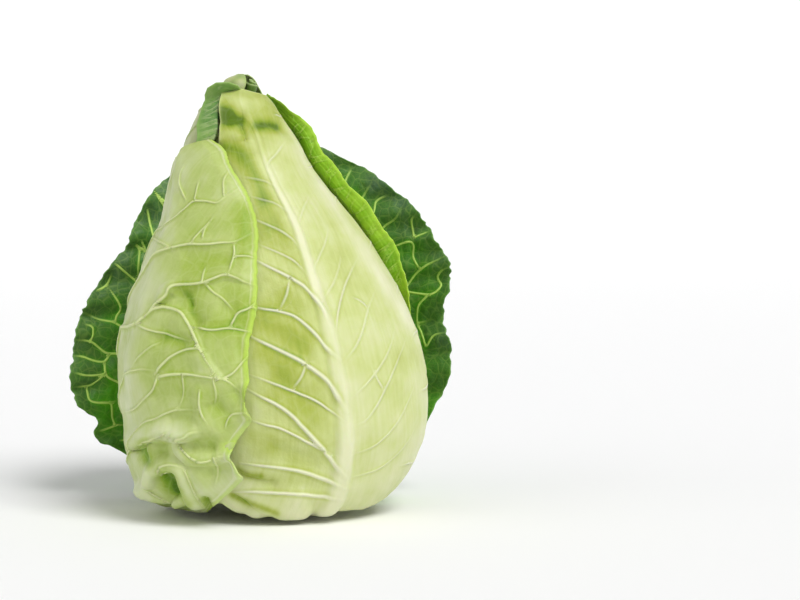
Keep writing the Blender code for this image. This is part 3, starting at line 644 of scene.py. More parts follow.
def lay_sheet(leaf, columns, rows=ROWS_ALONG, both_faces=False):
    """A leaf's outer face as a grid of points, with its normals, thickness and distances."""
    share_line = (spaced(rows, *leaf["rows"]) + 1) / 2
    share, across = (grid.ravel() for grid in np.meshgrid(share_line, columns, indexing="ij"))
    shape = (len(share_line), len(columns))
    if leaf is OUTER_LEAF:
        inner, from_rib, relief = *outer_sheet(share, across), np.zeros_like(share)
    else:
        inner, from_rib, relief = wrapped_sheet(leaf, share, across)
    inner = inner.reshape(*shape, 3)
    reach = np.abs(across)
    side_length = np.where(reach > LEAST_REACH, from_rib / np.maximum(reach, LEAST_REACH), 40)
    from_edge = (1 - reach) * side_length
    to_margin = np.minimum((1 - reach) * np.maximum(side_length, 10), (1 - share) * LEAF_LENGTH)
    petiole = (PETIOLE - BLADE) * (1 - ease(0.02, 0.15, share)) * (1 - 0.5 * reach**2)
    blade = BLADE * (THIN_MARGIN + (1 - THIN_MARGIN) * ease(0, MARGIN_WIDTH, to_margin)) + petiole
    if leaf is TIP_LEAF:
        blade = blade * (1 - FOLD_THINS * flap_fold(share, from_edge, across))
    at_tip, at_foot = leaf.get("midrib_width", MIDRIB_WIDTH)
    rib = leaf["midrib_height"] * (1 - share) ** 0.9 * ease(0, 0.17, share)
    thickness = blade + rib * on_midrib(from_rib, share, at_tip, at_foot - at_tip)
    points = inner if leaf is OUTER_LEAF else inner + grid_normals(inner) * thickness.reshape(*shape, 1)
    points[..., 2] = np.maximum(points[..., 2], FLOOR_GAP)
    return {"shape": shape, "share": share, "across": across, "from_rib": from_rib, "from_edge": from_edge,
            "to_margin": to_margin, "thickness": thickness, "relief": relief, "points": points,
            "normals": grid_normals(points), "both_faces": both_faces}


print("rows in a sheet", ROWS_ALONG)

# %% [markdown]
# ## Veins where the photograph shows them
# The veins that can be told apart are drawn as lines of a few pixels each, with a half width in
# millimetres. Each line is then laid onto its sheet: every point of it finds the nearest places on the
# sheet as the photograph sees them. A vein whose root is hidden is led on to the midrib. The other veins
# grow by a rule, from the midrib along the rows. A painted texture could show veins too, but it wouldn't
# stand out of the leaf.

# %% Vein lines of the left leaf
LEFT_VEINS = (
    (1.06, ((121, 331), (128, 325), (137, 320), (146, 312), (155, 304), (163, 302), (172, 303), (180, 306),
           (186, 314), (192, 325), (198, 339), (206, 354), (214, 365), (221, 371))),
    (0.84, ((146, 312), (154, 302), (160, 295), (167, 288), (170, 281), (177, 279), (188, 278), (203, 276),
            (214, 272), (226, 268), (237, 271), (247, 276), (258, 280))),
    (0.88, ((150, 260), (157, 250), (165, 246), (178, 242), (192, 239), (207, 239), (222, 237), (235, 236),
           (243, 232), (251, 228))),
    (0.53, ((234, 238), (235, 247), (232, 256), (228, 268))),
    (0.44, ((235, 250), (246, 250), (257, 253))),
    (0.7, ((152, 236), (160, 229), (168, 221), (178, 212), (188, 203), (195, 197), (206, 197), (217, 199),
           (226, 193), (238, 185))),
    (0.44, ((195, 197), (197, 188), (200, 176))),
    (0.4, ((192, 237), (201, 226), (210, 217), (217, 208))),
    (0.53, ((137, 320), (150, 325), (165, 327), (178, 331), (190, 334))),
    (0.88, ((155, 367), (163, 358), (172, 350), (183, 344), (195, 341), (205, 342))),
    (0.7, ((124, 371), (133, 366), (143, 364), (155, 365))),
    (0.84, ((157, 371), (170, 368), (185, 367), (200, 368), (213, 370), (224, 372), (233, 378), (240, 384))),
    (0.75, ((157, 371), (155, 380), (150, 388), (143, 395), (136, 403), (128, 409), (120, 412))),
    (0.48, ((221, 371), (232, 366), (240, 357), (247, 350), (257, 342))),
    (0.62, ((230, 319), (235, 311), (239, 305), (247, 302), (254, 298), (256, 288))),
    (0.44, ((252, 299), (259, 305), (262, 314))),
    (0.48, ((196, 321), (212, 323), (228, 321), (242, 323), (262, 328))),
    (0.4, ((134, 359), (141, 350), (150, 342), (163, 335))),
    (0.4, ((205, 277), (214, 286), (222, 291), (235, 305))),
    (0.7, ((144, 417), (154, 414), (163, 409), (173, 404), (183, 403), (198, 403))),
    (0.4, ((203, 233), (204, 226), (210, 217))),
    (0.4, ((202, 276), (204, 268), (206, 260))),
    (0.44, ((225, 420), (228, 412), (232, 407), (241, 405), (258, 402))),
    (0.4, ((213, 371), (216, 386), (214, 400))),
    (0.4, ((182, 368), (184, 384), (178, 402))),
    (0.4, ((154, 237), (164, 240), (172, 244))),
    (0.4, ((186, 196), (180, 178), (186, 160))),
    (0.4, ((225, 193), (224, 178), (230, 166))),
    (0.66, ((138, 441), (146, 434), (155, 430), (163, 428), (170, 431), (176, 432), (183, 430), (191, 427),
            (200, 426))),
    (0.62, ((177, 437), (183, 446), (190, 452), (197, 455), (206, 454), (216, 451), (226, 448))),
    (0.53, ((156, 470), (158, 463), (164, 459), (173, 460), (185, 462))),
    (0.48, ((160, 472), (165, 466), (171, 468), (174, 476))),
    (0.53, ((140, 483), (150, 490), (160, 495), (170, 498), (176, 494))),
    (0.66, ((199, 384), (199, 395), (200, 403), (203, 411), (207, 417))),
    (0.53, ((182, 462), (187, 472), (191, 482), (197, 494), (205, 506))),
    (0.4, ((215, 452), (218, 465), (214, 480))),
)
LEFT_ROOTED = ((121, 331), (150, 260), (152, 236), (124, 371), (144, 417))
print("left leaf veins", len(LEFT_VEINS))

# %% Vein lines of the front leaf
FRONT_VEINS = (
    (1.15, ((330, 318), (320, 298), (313, 290), (304, 281), (290, 272), (276, 265), (264, 259), (251, 252))),
    (1.0, ((340, 352), (328, 343), (318, 331), (306, 319), (294, 310), (279, 305), (262, 302), (247, 299))),
    (1.25, ((346, 404), (338, 391), (328, 375), (316, 365), (300, 354), (285, 346), (270, 339), (260, 334),
            (247, 327))),
    (1.25, ((347, 474), (336, 461), (326, 447), (316, 435), (304, 422), (291, 408), (276, 397), (260, 389),
            (247, 382))),
    (0.8, ((330, 448), (312, 438), (294, 428), (276, 420), (262, 417), (249, 412))),
    (0.6, ((345, 415), (330, 404), (314, 393), (298, 386), (280, 379), (262, 372), (248, 367))),
    (1.15, ((344, 484), (320, 472), (300, 465), (280, 461), (260, 459), (240, 457))),
    (1.15, ((342, 496), (320, 491), (295, 488), (270, 487), (250, 486), (229, 487))),
    (0.36, ((300, 244), (292, 234), (282, 227), (272, 222), (262, 218), (248, 212))),
    (0.4, ((306, 268), (296, 257), (284, 250), (270, 244), (256, 238))),
    (0.26, ((288, 208), (276, 200), (262, 196), (248, 192))),
    (0.2, ((276, 184), (266, 178), (256, 176), (241, 173))),
    (0.42, ((336, 330), (337, 312), (340, 296), (345, 280), (351, 267), (358, 254))),
    (0.33, ((344, 356), (356, 340), (362, 326), (368, 304), (375, 286))),
    (0.38, ((352, 420), (364, 416), (374, 404), (384, 386), (393, 367), (401, 348), (407, 332))),
    (0.33, ((352, 392), (368, 376), (382, 358), (390, 342), (395, 324))),
    (0.33, ((350, 450), (376, 440), (394, 422), (408, 398), (416, 376))),
    (0.3, ((348, 474), (380, 464), (402, 446), (418, 420))),
    (0.3, ((266, 166), (270, 158), (277, 151), (286, 140))),
    (0.25, ((312, 268), (319, 252), (326, 236), (328, 222))),
    (0.22, ((298, 222), (303, 206), (310, 192))),
    (0.22, ((324, 294), (336, 272), (342, 248))),
    (0.4, ((290, 272), (286, 290), (279, 304))),
    (0.4, ((306, 356), (301, 370), (292, 382))),
    (0.4, ((368, 304), (360, 296), (352, 292))),
    (0.4, ((384, 386), (376, 372), (372, 362))),
)
print("front leaf veins", len(FRONT_VEINS))

# %% Vein lines of the open leaf, left and right of the head
OUTER_VEINS = (
    (0.74, ((130, 340), (115, 329), (99, 325), (84, 318))),
    (0.64, ((115, 329), (116, 322), (121, 316), (114, 301), (107, 291))),
    (0.82, ((128, 362), (116, 360), (109, 360), (90, 347), (76, 345))),
    (0.55, ((90, 347), (93, 341), (93, 333), (83, 329))),
    (0.64, ((109, 360), (104, 368), (89, 365), (83, 362), (72, 361))),
    (0.74, ((104, 368), (105, 380), (120, 390), (132, 400))),
    (0.55, ((105, 380), (88, 381), (73, 377))),
    (0.55, ((105, 380), (86, 392), (74, 392))),
    (0.55, ((86, 392), (89, 406), (110, 409), (117, 406))),
    (0.64, ((110, 409), (116, 431), (125, 431))),
    (0.46, ((116, 431), (98, 437))),
    (0.55, ((120, 447), (131, 447))),
    (0.64, ((154, 198), (166, 216), (176, 232))),
    (0.64, ((148, 218), (153, 241), (158, 258))),
    (0.55, ((135, 250), (140, 258), (138, 277), (142, 296))),
    (0.46, ((142, 248), (146, 257), (150, 266))),
    (0.64, ((116, 270), (135, 287), (146, 296))),
    (0.55, ((98, 296), (107, 291), (112, 280))),
    (0.82, ((388, 318), (401, 301), (420, 276), (446, 261))),
    (0.64, ((420, 276), (413, 262), (414, 251), (411, 248), (392, 255), (380, 262))),
    (0.55, ((414, 244), (411, 226), (415, 222))),
    (0.46, ((414, 244), (429, 238))),
    (0.55, ((374, 246), (383, 235), (396, 225), (401, 215))),
    (0.55, ((358, 216), (364, 203), (371, 191))),
    (0.55, ((368, 228), (374, 219), (376, 209), (388, 203))),
    (0.46, ((340, 200), (346, 188), (352, 176))),
    (0.64, ((404, 298), (429, 301), (442, 291), (437, 284), (440, 278), (451, 272))),
    (0.55, ((429, 301), (418, 313), (417, 330), (430, 327))),
    (0.55, ((417, 330), (424, 346), (426, 353), (434, 341), (445, 338))),
    (0.55, ((400, 318), (410, 340), (420, 360))),
)
OUTER_ROOTED = ((130, 340), (135, 250), (154, 198), (358, 216), (374, 246), (388, 318))
print("open leaf veins", len(OUTER_VEINS))

# %% Lay drawn veins on a sheet
def on_sheet(sheet, share, across):
    """Points of a sheet between its rows and columns."""
    rows, columns = sheet["shape"]
    row_shares = sheet["share"].reshape(rows, columns)[:, 0]
    column_places = sheet["across"].reshape(rows, columns)[0]
    row = np.interp(share, row_shares, np.arange(rows))
    column = np.interp(across, column_places, np.arange(columns))
    i, j = np.minimum(row.astype(int), rows - 2), np.minimum(column.astype(int), columns - 2)
    s, t = (row - i)[:, None], (column - j)[:, None]
    grid = sheet["points"]
    low = grid[i, j] * (1 - t) + grid[i, j + 1] * t
    high = grid[i + 1, j] * (1 - t) + grid[i + 1, j + 1] * t
    return low * (1 - s) + high * s


ROOT_STEPS, ROOT_BOW = 24, 0.8
VEIN_STEP, VEIN_FACING = 1.0, 0.15
NEAR_POINTS, NEAR_SOFT = 4, 0.05


def laid_lines(sheet, veins, rooted=(), climb=0.05):
    """Each drawn vein as points on the sheet: (half width, points in millimetres).

    A vein whose first pixel is one of rooted also runs on to the midrib.
    """
    sheet["roots"] = []
    points, normals = sheet["points"].reshape(-1, 3), sheet["normals"].reshape(-1, 3)
    place = seen(points)
    facing = np.nonzero(normals[:, 1] < VEIN_FACING)[0]
    tree = KDTree(len(facing))
    for index in facing:
        tree.insert((place[index, 0], place[index, 1], 0), int(index))
    tree.balance()
    lines = []
    for half_width, pixels in veins:
        laid = []
        for right, up in smooth_line(from_pixel(pixels), VEIN_STEP):
            near = tree.find_n((right, up, 0), NEAR_POINTS)
            weights = np.array([1 / (found[2] + NEAR_SOFT) for found in near])
            laid.append(weights @ points[[found[1] for found in near]] / weights.sum())
        if pixels[0] in rooted:
            first = tree.find((*from_pixel(pixels)[0], 0))[1]
            share, across = sheet["share"][first], sheet["across"][first]
            sheet["roots"].append((np.sign(across), share - climb))
            part = np.linspace(0, 1, ROOT_STEPS, endpoint=False)
            laid = [*on_sheet(sheet, share - climb * (1 - part) ** ROOT_BOW, across * part), *laid]
        laid = np.array(laid)
        for _ in range(3):
            laid[1:-1] = (laid[:-2] + 2 * laid[1:-1] + laid[2:]) / 4
        lines.append((half_width, laid))
    return lines


print("steps to the midrib", ROOT_STEPS)

# %% Grow the other veins
ROOTS_APART = 0.06
RIB_STEPS, RIB_WAVER = 60, 0.008


def midrib_line(sheet, half_width, first, last):
    """The midrib as a line from one share of the leaf's length to another."""
    share = np.linspace(first, last, 90)
    return [(half_width, on_sheet(sheet, share, np.zeros_like(share)))]


def grown_lines(sheet, sides, ribs, half_width, seed, reach_from=0.02, reach_to=0.93, climb=0.0):
    """Side ribs that leave the midrib at steps along it, waver, and fork towards the margin.

    A rib is left out where a drawn vein already has its root.
    """
    random = np.random.default_rng(seed)
    lines = []
    for side in sides:
        drawn_roots = np.array([root for beside, root in sheet.get("roots", ()) if beside == side])
        starts = np.linspace(0.09, 0.9, ribs) + random.uniform(-0.015, 0.015, ribs) + 0.015 * side
        for start in starts:
            if np.any(np.abs(start - drawn_roots) < ROOTS_APART):
                continue
            reach = np.linspace(reach_from, reach_to, RIB_STEPS)
            waver = RIB_WAVER * np.sin(reach * random.uniform(7, 11) + random.uniform(0, 6))
            waver = waver * ease(0.05, 0.4, reach)
            fork = random.uniform(0.45, 0.65)
            spread = random.uniform(0.02, 0.035)
            size = half_width * (1 - 0.45 * start)
            for direction in (-1, 1):
                branch = spread * direction * np.maximum(reach - fork, 0) / (1 - fork)
                path = on_sheet(sheet, np.clip(start + climb * reach + waver + branch, 0, 1), side * reach)
                keep = slice(0, None) if direction < 0 else slice(int(fork * RIB_STEPS) - 1, None)
                lines.append((size * (1 if direction < 0 else 0.7), path[keep]))
    return lines


print("points in a grown rib", RIB_STEPS)

# %% Vein lines as a mesh of edges
THINNEST_VEIN, HIGHEST_VEIN = 0.6, 1.2
ROOT_RISE, END_SINKS = 0.03, 0.85


def stored(mesh, name, values):
    """Stores a number, or a direction, for each point of the mesh."""
    values = np.asarray(values, np.float32)
    kind, field = ("FLOAT_VECTOR", "vector") if values.ndim == 2 else ("FLOAT", "value")
    mesh.attributes.new(name, kind, "POINT").data.foreach_set(field, values.ravel())


def vein_object(name, lines, rooting):
    """The vein lines as one mesh of edges.

    A vein rises over a share of its length, rooting, and tapers, and its end sinks into the blade.
    """
    points, edges, widths, heights, ways = [], [], [], [], []
    low = ROOT_RISE / rooting
    for half_width, line in lines:
        first = len(points)
        points.extend(line * MM)
        edges.extend((first + k, first + k + 1) for k in range(len(line) - 1))
        along = np.linspace(0, 1, len(line))
        tapered = half_width * (1 - 0.5 * along)
        risen = low + (1 - low) * ease(0, rooting, along)
        sinking = 1 - END_SINKS * ease(0.7, 1, along)
        widths.append(np.maximum(tapered, THINNEST_VEIN) * MM)
        heights.append(np.minimum(tapered, HIGHEST_VEIN) * risen * sinking * MM)
        way = np.gradient(line, axis=0)
        ways.append(way / np.maximum(np.linalg.norm(way, axis=1, keepdims=True), 1e-9))
    mesh = bpy.data.meshes.new(name)
    mesh.from_pydata(points, edges, [])
    for attribute, values in (("half_width", widths), ("height", heights), ("way", ways)):
        stored(mesh, attribute, np.concatenate(values))
    return linked(name, mesh)


print("thinnest vein", 2 * THINNEST_VEIN, "mm wide")

# %% [markdown]
# ## A helper for nodes
# Both kinds of node tree are built with one small function. It adds a node, sets its options, and fills
# its inputs with numbers or with links from other nodes. Two patterns of nodes are shared by the vein tree
# and the leaf material: a place that wavers, so that nothing on a leaf runs quite straight, and a net of
# cells. A Voronoi texture was chosen for the net, because the meshes of a leaf's veins are such cells.

# %% Add a node
MATH, VECTOR_MATH = "ShaderNodeMath", "ShaderNodeVectorMath"
MAP_RANGE, NOISE = "ShaderNodeMapRange", "ShaderNodeTexNoise"


def add(tree, kind, inputs=None, **options):
    """A new node with its options set and its inputs filled or linked. A node links by its first output."""
    node = tree.nodes.new(kind)
    for option, value in options.items():
        setattr(node, option, value)
    for socket, value in (inputs or {}).items():
        value = value.outputs[0] if isinstance(value, bpy.types.Node) else value
        if isinstance(value, bpy.types.NodeSocket):
            tree.links.new(value, node.inputs[socket])
        else:
            node.inputs[socket].default_value = value
    return node


print("short names for", (MATH, VECTOR_MATH, MAP_RANGE, NOISE))

# %% Patterns of nodes, and a new tree
WAVER_SCALE, WAVER = 90.0, 0.006  # bends about 11 mm long, which shift a place by a few millimetres


def wavering(tree, place):
    """The place, shifted this way and that."""
    shift = add(tree, NOISE, {"Vector": place, "Scale": WAVER_SCALE, "Detail": 1.0})
    shift = add(tree, VECTOR_MATH, {0: shift.outputs["Color"], 1: (0.5, 0.5, 0.5)}, operation="SUBTRACT")
    shift = add(tree, VECTOR_MATH, {0: shift, 3: WAVER}, operation="SCALE")
    return add(tree, VECTOR_MATH, {0: place, 1: shift}, operation="ADD")


def netted(tree, place, scale, width):
    """How far in its cell each point is, and the lines between the cells."""
    cells = add(tree, "ShaderNodeTexVoronoi", {"Vector": place, "Scale": scale}, voronoi_dimensions="3D",
                feature="DISTANCE_TO_EDGE").outputs["Distance"]
    lines = add(tree, MAP_RANGE, {0: cells, 1: 0.0, 2: width, 3: 1.0, 4: 0.0},
                interpolation_type="SMOOTHSTEP")
    return cells, lines


def new_tree(name, inputs, output):
    """A new Geometry Nodes tree, with inputs of a name, a kind and a value, and its group input's sockets."""
    tree = bpy.data.node_groups.new(name, "GeometryNodeTree")
    for label, kind, value in inputs:
        socket = tree.interface.new_socket(label, in_out="INPUT", socket_type="NodeSocket" + kind)
        if value is not None:
            socket.default_value = value
    tree.interface.new_socket(output, in_out="OUTPUT", socket_type="NodeSocketGeometry")
    return tree, add(tree, "NodeGroupInput").outputs


print("patterns ready")

# %% [markdown]
# ## The vein tree
# On a cabbage leaf the veins stand out of the outer face, the blade bulges a little between them, and a
# finer net links them. This is the same everywhere on the leaf, so a Geometry Nodes tree does it. It
# measures how far each point of the sheet is from the nearest vein line, and on which side. It raises a
# round ridge with a low shoulder there, lets the blade swell between the ridges, adds a net whose cells
# are the size of the real meshes, and makes the whole a little uneven. It keeps the sheet's own place, the
# distances, the vein's strength and the depth of the hollows as attributes, so the material draws the same
# veins and paints shade into the hollows.

# %% The nearest vein
FAR_BY = 0.003  # a line that is further than this off the sheet raises less
SIDE_LIMIT = 4.0  # half widths of the vein


def nearest_vein(tree, lines, place, normal):
    """How far each point is from its nearest vein line, on which side, and that vein's sizes there."""
    nearest = add(tree, "GeometryNodeProximity", {"Target": lines}, target_element="EDGES").outputs
    away = add(tree, VECTOR_MATH, {0: place, 1: nearest["Position"]}, operation="SUBTRACT")
    over = add(tree, VECTOR_MATH, {0: away, 1: normal}, operation="DOT_PRODUCT").outputs["Value"]
    over = add(tree, VECTOR_MATH, {0: normal, 3: over}, operation="SCALE")
    flat = add(tree, VECTOR_MATH, {0: away, 1: over}, operation="SUBTRACT")
    flat = add(tree, VECTOR_MATH, {0: flat}, operation="LENGTH").outputs["Value"]
    far = add(tree, MATH, {0: nearest["Distance"], 1: FAR_BY}, operation="SUBTRACT")
    near = add(tree, MATH, {0: flat, 1: far}, operation="MAXIMUM")
    index = add(tree, "GeometryNodeSampleNearest", {"Geometry": lines}, domain="POINT").outputs["Index"]
    sampled = []
    for name, kind in (("half_width", "FLOAT"), ("height", "FLOAT"), ("way", "FLOAT_VECTOR")):
        value = add(tree, "GeometryNodeInputNamedAttribute", {"Name": name}, data_type=kind)
        sources = {"Geometry": lines, "Value": value, "Index": index}
        sampled.append(add(tree, "GeometryNodeSampleIndex", sources, data_type=kind, domain="POINT"))
    width, height, way = sampled
    sideways = add(tree, VECTOR_MATH, {0: normal, 1: way}, operation="CROSS_PRODUCT")
    side = add(tree, VECTOR_MATH, {0: away, 1: sideways}, operation="DOT_PRODUCT").outputs["Value"]
    side = add(tree, MATH, {0: side, 1: width}, operation="DIVIDE")
    side = add(tree, "ShaderNodeClamp", {"Value": side, "Min": -SIDE_LIMIT, "Max": SIDE_LIMIT})
    return near, side, width, height


print("vein distances ready")

# %% The ridge over a vein, and the blade between the veins
SHOULDER_FALL = 0.1
SWELL_WIDTH = 0.006
NET_RIDGE = 0.18
UNEVEN_SCALE = 55.0  # waves of the blade about 18 mm across


def vein_ridge(tree, given, near, width, height):
    """A rounded ridge on a low wide shoulder."""
    broad = add(tree, MATH, {0: width, 1: given["Widening"]}, operation="ADD")
    broad = add(tree, MATH, {0: near, 1: broad}, operation="DIVIDE")
    squared = add(tree, MATH, {0: broad, 1: broad}, operation="MULTIPLY")
    falling = add(tree, MATH, {0: squared, 1: -1.0}, operation="MULTIPLY")
    ridge = add(tree, MATH, {0: falling}, operation="EXPONENT")
    wider = add(tree, MATH, {0: falling, 1: SHOULDER_FALL}, operation="MULTIPLY")
    shoulder = add(tree, MATH, {0: wider}, operation="EXPONENT")
    shoulder = add(tree, MATH, {0: shoulder, 1: given["Shoulder"]}, operation="MULTIPLY")
    raised = add(tree, MATH, {0: ridge, 1: shoulder}, operation="ADD")
    for factor in (height, given["Ridge height"]):
        raised = add(tree, MATH, {0: raised, 1: factor}, operation="MULTIPLY")
    return raised


def blade_relief(tree, given, place, near):
    """The swell between veins, the finer net and the unevenness of the blade."""
    between = add(tree, MAP_RANGE, {0: near, 1: 0.0, 2: SWELL_WIDTH, 3: 0.0, 4: 1.0},
                  interpolation_type="SMOOTHSTEP")
    swell = add(tree, MATH, {0: between, 1: given["Swell"]}, operation="MULTIPLY")
    scale = add(tree, MATH, {0: 1.0, 1: given["Net size"]}, operation="DIVIDE")
    _, net = netted(tree, wavering(tree, place), scale, NET_RIDGE)
    net = add(tree, MATH, {0: net, 1: given["Net height"]}, operation="MULTIPLY")
    shifted = add(tree, "ShaderNodeCombineXYZ", {0: given["Seed"]})
    shifted = add(tree, VECTOR_MATH, {0: place, 1: shifted}, operation="ADD")
    uneven = add(tree, NOISE, {"Vector": shifted, "Scale": UNEVEN_SCALE, "Detail": 2.0})
    uneven = add(tree, MATH, {0: uneven, 1: 0.5}, operation="SUBTRACT")
    uneven = add(tree, MATH, {0: uneven, 1: given["Unevenness"]}, operation="MULTIPLY")
    return swell, net, uneven


print("relief ready")

# %% Geometry Nodes: veins on a leaf
VEIN_INPUTS = (("Leaf", "Geometry", None), ("Vein lines", "Object", None), ("Ridge height", "Float", 1.0),
               ("Widening", "Float", 0.0004), ("Shoulder", "Float", 0.3), ("Swell", "Float", 0.0002),
               ("Net size", "Float", 0.010), ("Net height", "Float", 0.0001), ("Unevenness", "Float", 0.0022),
               ("Seed", "Float", 1.0), ("Finish", "Material", None))
STRONG_VEIN = 0.00045


def vein_tree():
    """The tree that raises the veins of a leaf."""
    tree, given = new_tree("leaf_veins", VEIN_INPUTS, "Leaf")
    place = add(tree, "GeometryNodeInputPosition").outputs["Position"]
    normal = add(tree, "GeometryNodeInputNormal").outputs["Normal"]
    lines = add(tree, "GeometryNodeObjectInfo", {"Object": given["Vein lines"]}).outputs["Geometry"]
    near, side, width, height = nearest_vein(tree, lines, place, normal)
    gap = add(tree, MATH, {0: near, 1: width}, operation="DIVIDE")
    gap = add(tree, MATH, {0: gap, 1: SIDE_LIMIT}, operation="MINIMUM")
    strength = add(tree, MAP_RANGE, {0: height, 1: 0.0, 2: STRONG_VEIN, 3: 0.0, 4: 1.0})
    total = vein_ridge(tree, given, near, width, height)
    relief = blade_relief(tree, given, place, near)
    for part in relief:
        total = add(tree, MATH, {0: total, 1: part}, operation="ADD")
    # The hollows' depth in millimetres: the material paints shade into it as a greener tone.
    hollow = add(tree, MATH, {0: relief[-1], 1: -1 / MM}, operation="MULTIPLY")
    outside = add(tree, "GeometryNodeInputNamedAttribute", {"Name": "outside"}, data_type="FLOAT")
    total = add(tree, MATH, {0: total, 1: outside}, operation="MULTIPLY")
    offset = add(tree, VECTOR_MATH, {0: normal, 3: total}, operation="SCALE")
    marked = given["Leaf"]
    for name, value, kind in (("rest", place, "FLOAT_VECTOR"), ("vein_gap", gap, "FLOAT"),
                              ("vein_side", side, "FLOAT"), ("vein_strength", strength, "FLOAT"),
                              ("hollow", hollow, "FLOAT")):
        sources = {"Geometry": marked, "Name": name, "Value": value}
        marked = add(tree, "GeometryNodeStoreNamedAttribute", sources, data_type=kind, domain="POINT")
    moved = add(tree, "GeometryNodeSetPosition", {"Geometry": marked, "Offset": offset})
    real = add(tree, "GeometryNodeRealizeInstances", {"Geometry": moved})
    done = add(tree, "GeometryNodeSetMaterial", {"Geometry": real, "Material": given["Finish"]})
    add(tree, "NodeGroupOutput", {"Leaf": done})
    return tree


VEIN_TREE = vein_tree()
print("vein tree", len(VEIN_TREE.nodes), "nodes")

# %% [markdown]
# ## The leaf material
# Fresh cabbage leaf is a thin wet tissue under a skin of wax. Light goes into it and comes out green,
# which subsurface scattering gives. The wax scatters light at grazing angles, which whitens the head's
# outline, so a little sheen stands for it. The colour runs from cream at the foot and the ribs to green
# at the margins, in clouds, and in fine streaks along the leaf's fibres. Veins are paler than the blade,
# and a finer net shows between them, whose cells are quilted. Painted shade makes the hollows of the
# blade greener, and the blade beside the veins too; on the old dark leaf the blade beside the veins is a
# paler green instead, its own colour. One material serves every leaf, with its own colours for each,
# because they are one tissue at different ages.

# %% The blade's tone
BLOTCH_SCALE, BLOTCH = 38.0, 0.12  # clouds about 26 mm across
FIBRE_SCALE, STREAK = (0.45, 0.035, 1.0), 0.045  # streaks about 2 mm wide and 30 mm long
LOW, HIGH = 0.3, 0.7  # most of a noise texture lies between these
# Painted shade beside the veins: within these half widths the blade is coloured greener.
HALO = (1.2, 3.6)  # half widths of the vein at which the halo is whole, and gone
# Painted shade in the hollows of the blade.
HOLLOW_SHADE = 0.3  # how much greener a hollow is for each millimetre


def blade_tone(tree, given, rest, shade_and_tint_beside_veins):
    """How green each point of the blade is: its clouds and fibres, and painted shade in hollows and beside
    veins.
    """
    blotch = add(tree, NOISE, {"Vector": rest, "Scale": BLOTCH_SCALE, "Detail": 4.0})
    blotch = add(tree, MAP_RANGE, {0: blotch, 1: LOW, 2: HIGH, 3: -BLOTCH, 4: BLOTCH})
    fibre = add(tree, "ShaderNodeCombineXYZ", {0: given["beside_rib"], 1: given["along_rib"]})
    fibre = add(tree, VECTOR_MATH, {0: fibre, 1: FIBRE_SCALE}, operation="MULTIPLY")
    fibre = add(tree, NOISE, {"Vector": fibre, "Scale": 1.0, "Detail": 3.0})
    streak = add(tree, MAP_RANGE, {0: fibre, 1: LOW, 2: HIGH, 3: -STREAK, 4: STREAK})
    # Painted shade: the deeper the hollow, the greener the tone.
    greener = add(tree, MATH, {0: given["hollow"], 1: HOLLOW_SHADE, 2: streak}, operation="MULTIPLY_ADD")
    halo = add(tree, MAP_RANGE, {0: given["vein_gap"], 1: HALO[0], 2: HALO[1], 3: shade_and_tint_beside_veins, 4: 0.0})
    halo = add(tree, MATH, {0: halo, 1: given["vein_strength"]}, operation="MULTIPLY")
    level = given["tone"]
    for part in (blotch, greener, halo):
        level = add(tree, MATH, {0: level, 1: part}, operation="ADD")
    return level, blotch, fibre


print("clouds", round(1000 / BLOTCH_SCALE), "mm across")

# %% The net and the veins as the material draws them
NET_LINE, FINE_LINE = 0.09, 0.14
TIMES_FINER, FINE_SHARE = 3.2, 0.4
FULL_NET_AT = 0.5
VEIN_RIDGE, RIDGE_END, VEIN_COVER = 0.0004, 1.5, 0.9


def net_marks(tree, rest, net_size, net_strength, level):
    """The net and a finer net in it, which pale places hardly show, and how far in its cell a point is."""
    moved = wavering(tree, rest)
    cells, net = netted(tree, moved, 1 / net_size, NET_LINE)
    _, fine = netted(tree, moved, TIMES_FINER / net_size, FINE_LINE)
    net = add(tree, MATH, {0: net, 1: net_strength}, operation="MULTIPLY")
    fine = add(tree, MATH, {0: fine, 1: net_strength * FINE_SHARE}, operation="MULTIPLY")
    lines = add(tree, MATH, {0: net, 1: fine}, operation="MAXIMUM")
    shown = add(tree, MATH, {0: level, 1: FULL_NET_AT}, operation="MINIMUM")
    return add(tree, MATH, {0: lines, 1: shown}, operation="MULTIPLY"), cells


def vein_marks(tree, given, vein_edges):
    """How much of a vein each point shows, and the height of its crisp ridge."""
    crisp = add(tree, MATH, {0: given["vein_side"]}, operation="ABSOLUTE")
    # Past a line's end its side stays near zero, so there the distance takes over.
    ended = add(tree, MATH, {0: given["vein_gap"], 1: 2.0, 2: -2.4}, operation="MULTIPLY_ADD")
    crisp = add(tree, MATH, {0: crisp, 1: ended}, operation="MAXIMUM")
    marks = []
    for whole, none, top in ((*vein_edges, VEIN_COVER), (0.0, RIDGE_END, VEIN_RIDGE)):
        mark = add(tree, MAP_RANGE, {0: crisp, 1: whole, 2: none, 3: top, 4: 0.0},
                   interpolation_type="SMOOTHSTEP")
        marks.append(add(tree, MATH, {0: mark, 1: given["vein_strength"]}, operation="MULTIPLY"))
    return marks


print("vein ridge", VEIN_RIDGE / MM, "mm")

# %% A material for one kind of leaf
LEAF_ATTRIBUTES = ("vein_gap", "vein_side", "vein_strength", "hollow", "tone", "rim", "beside_rib",
                   "along_rib")
TONE_STOPS = (0.33, 0.62, 0.84)
GRAIN_SCALE = 900.0  # the grain of the wax, drawn about 1 mm across so that it shows
ROUGHNESS = (0.42, 0.56)


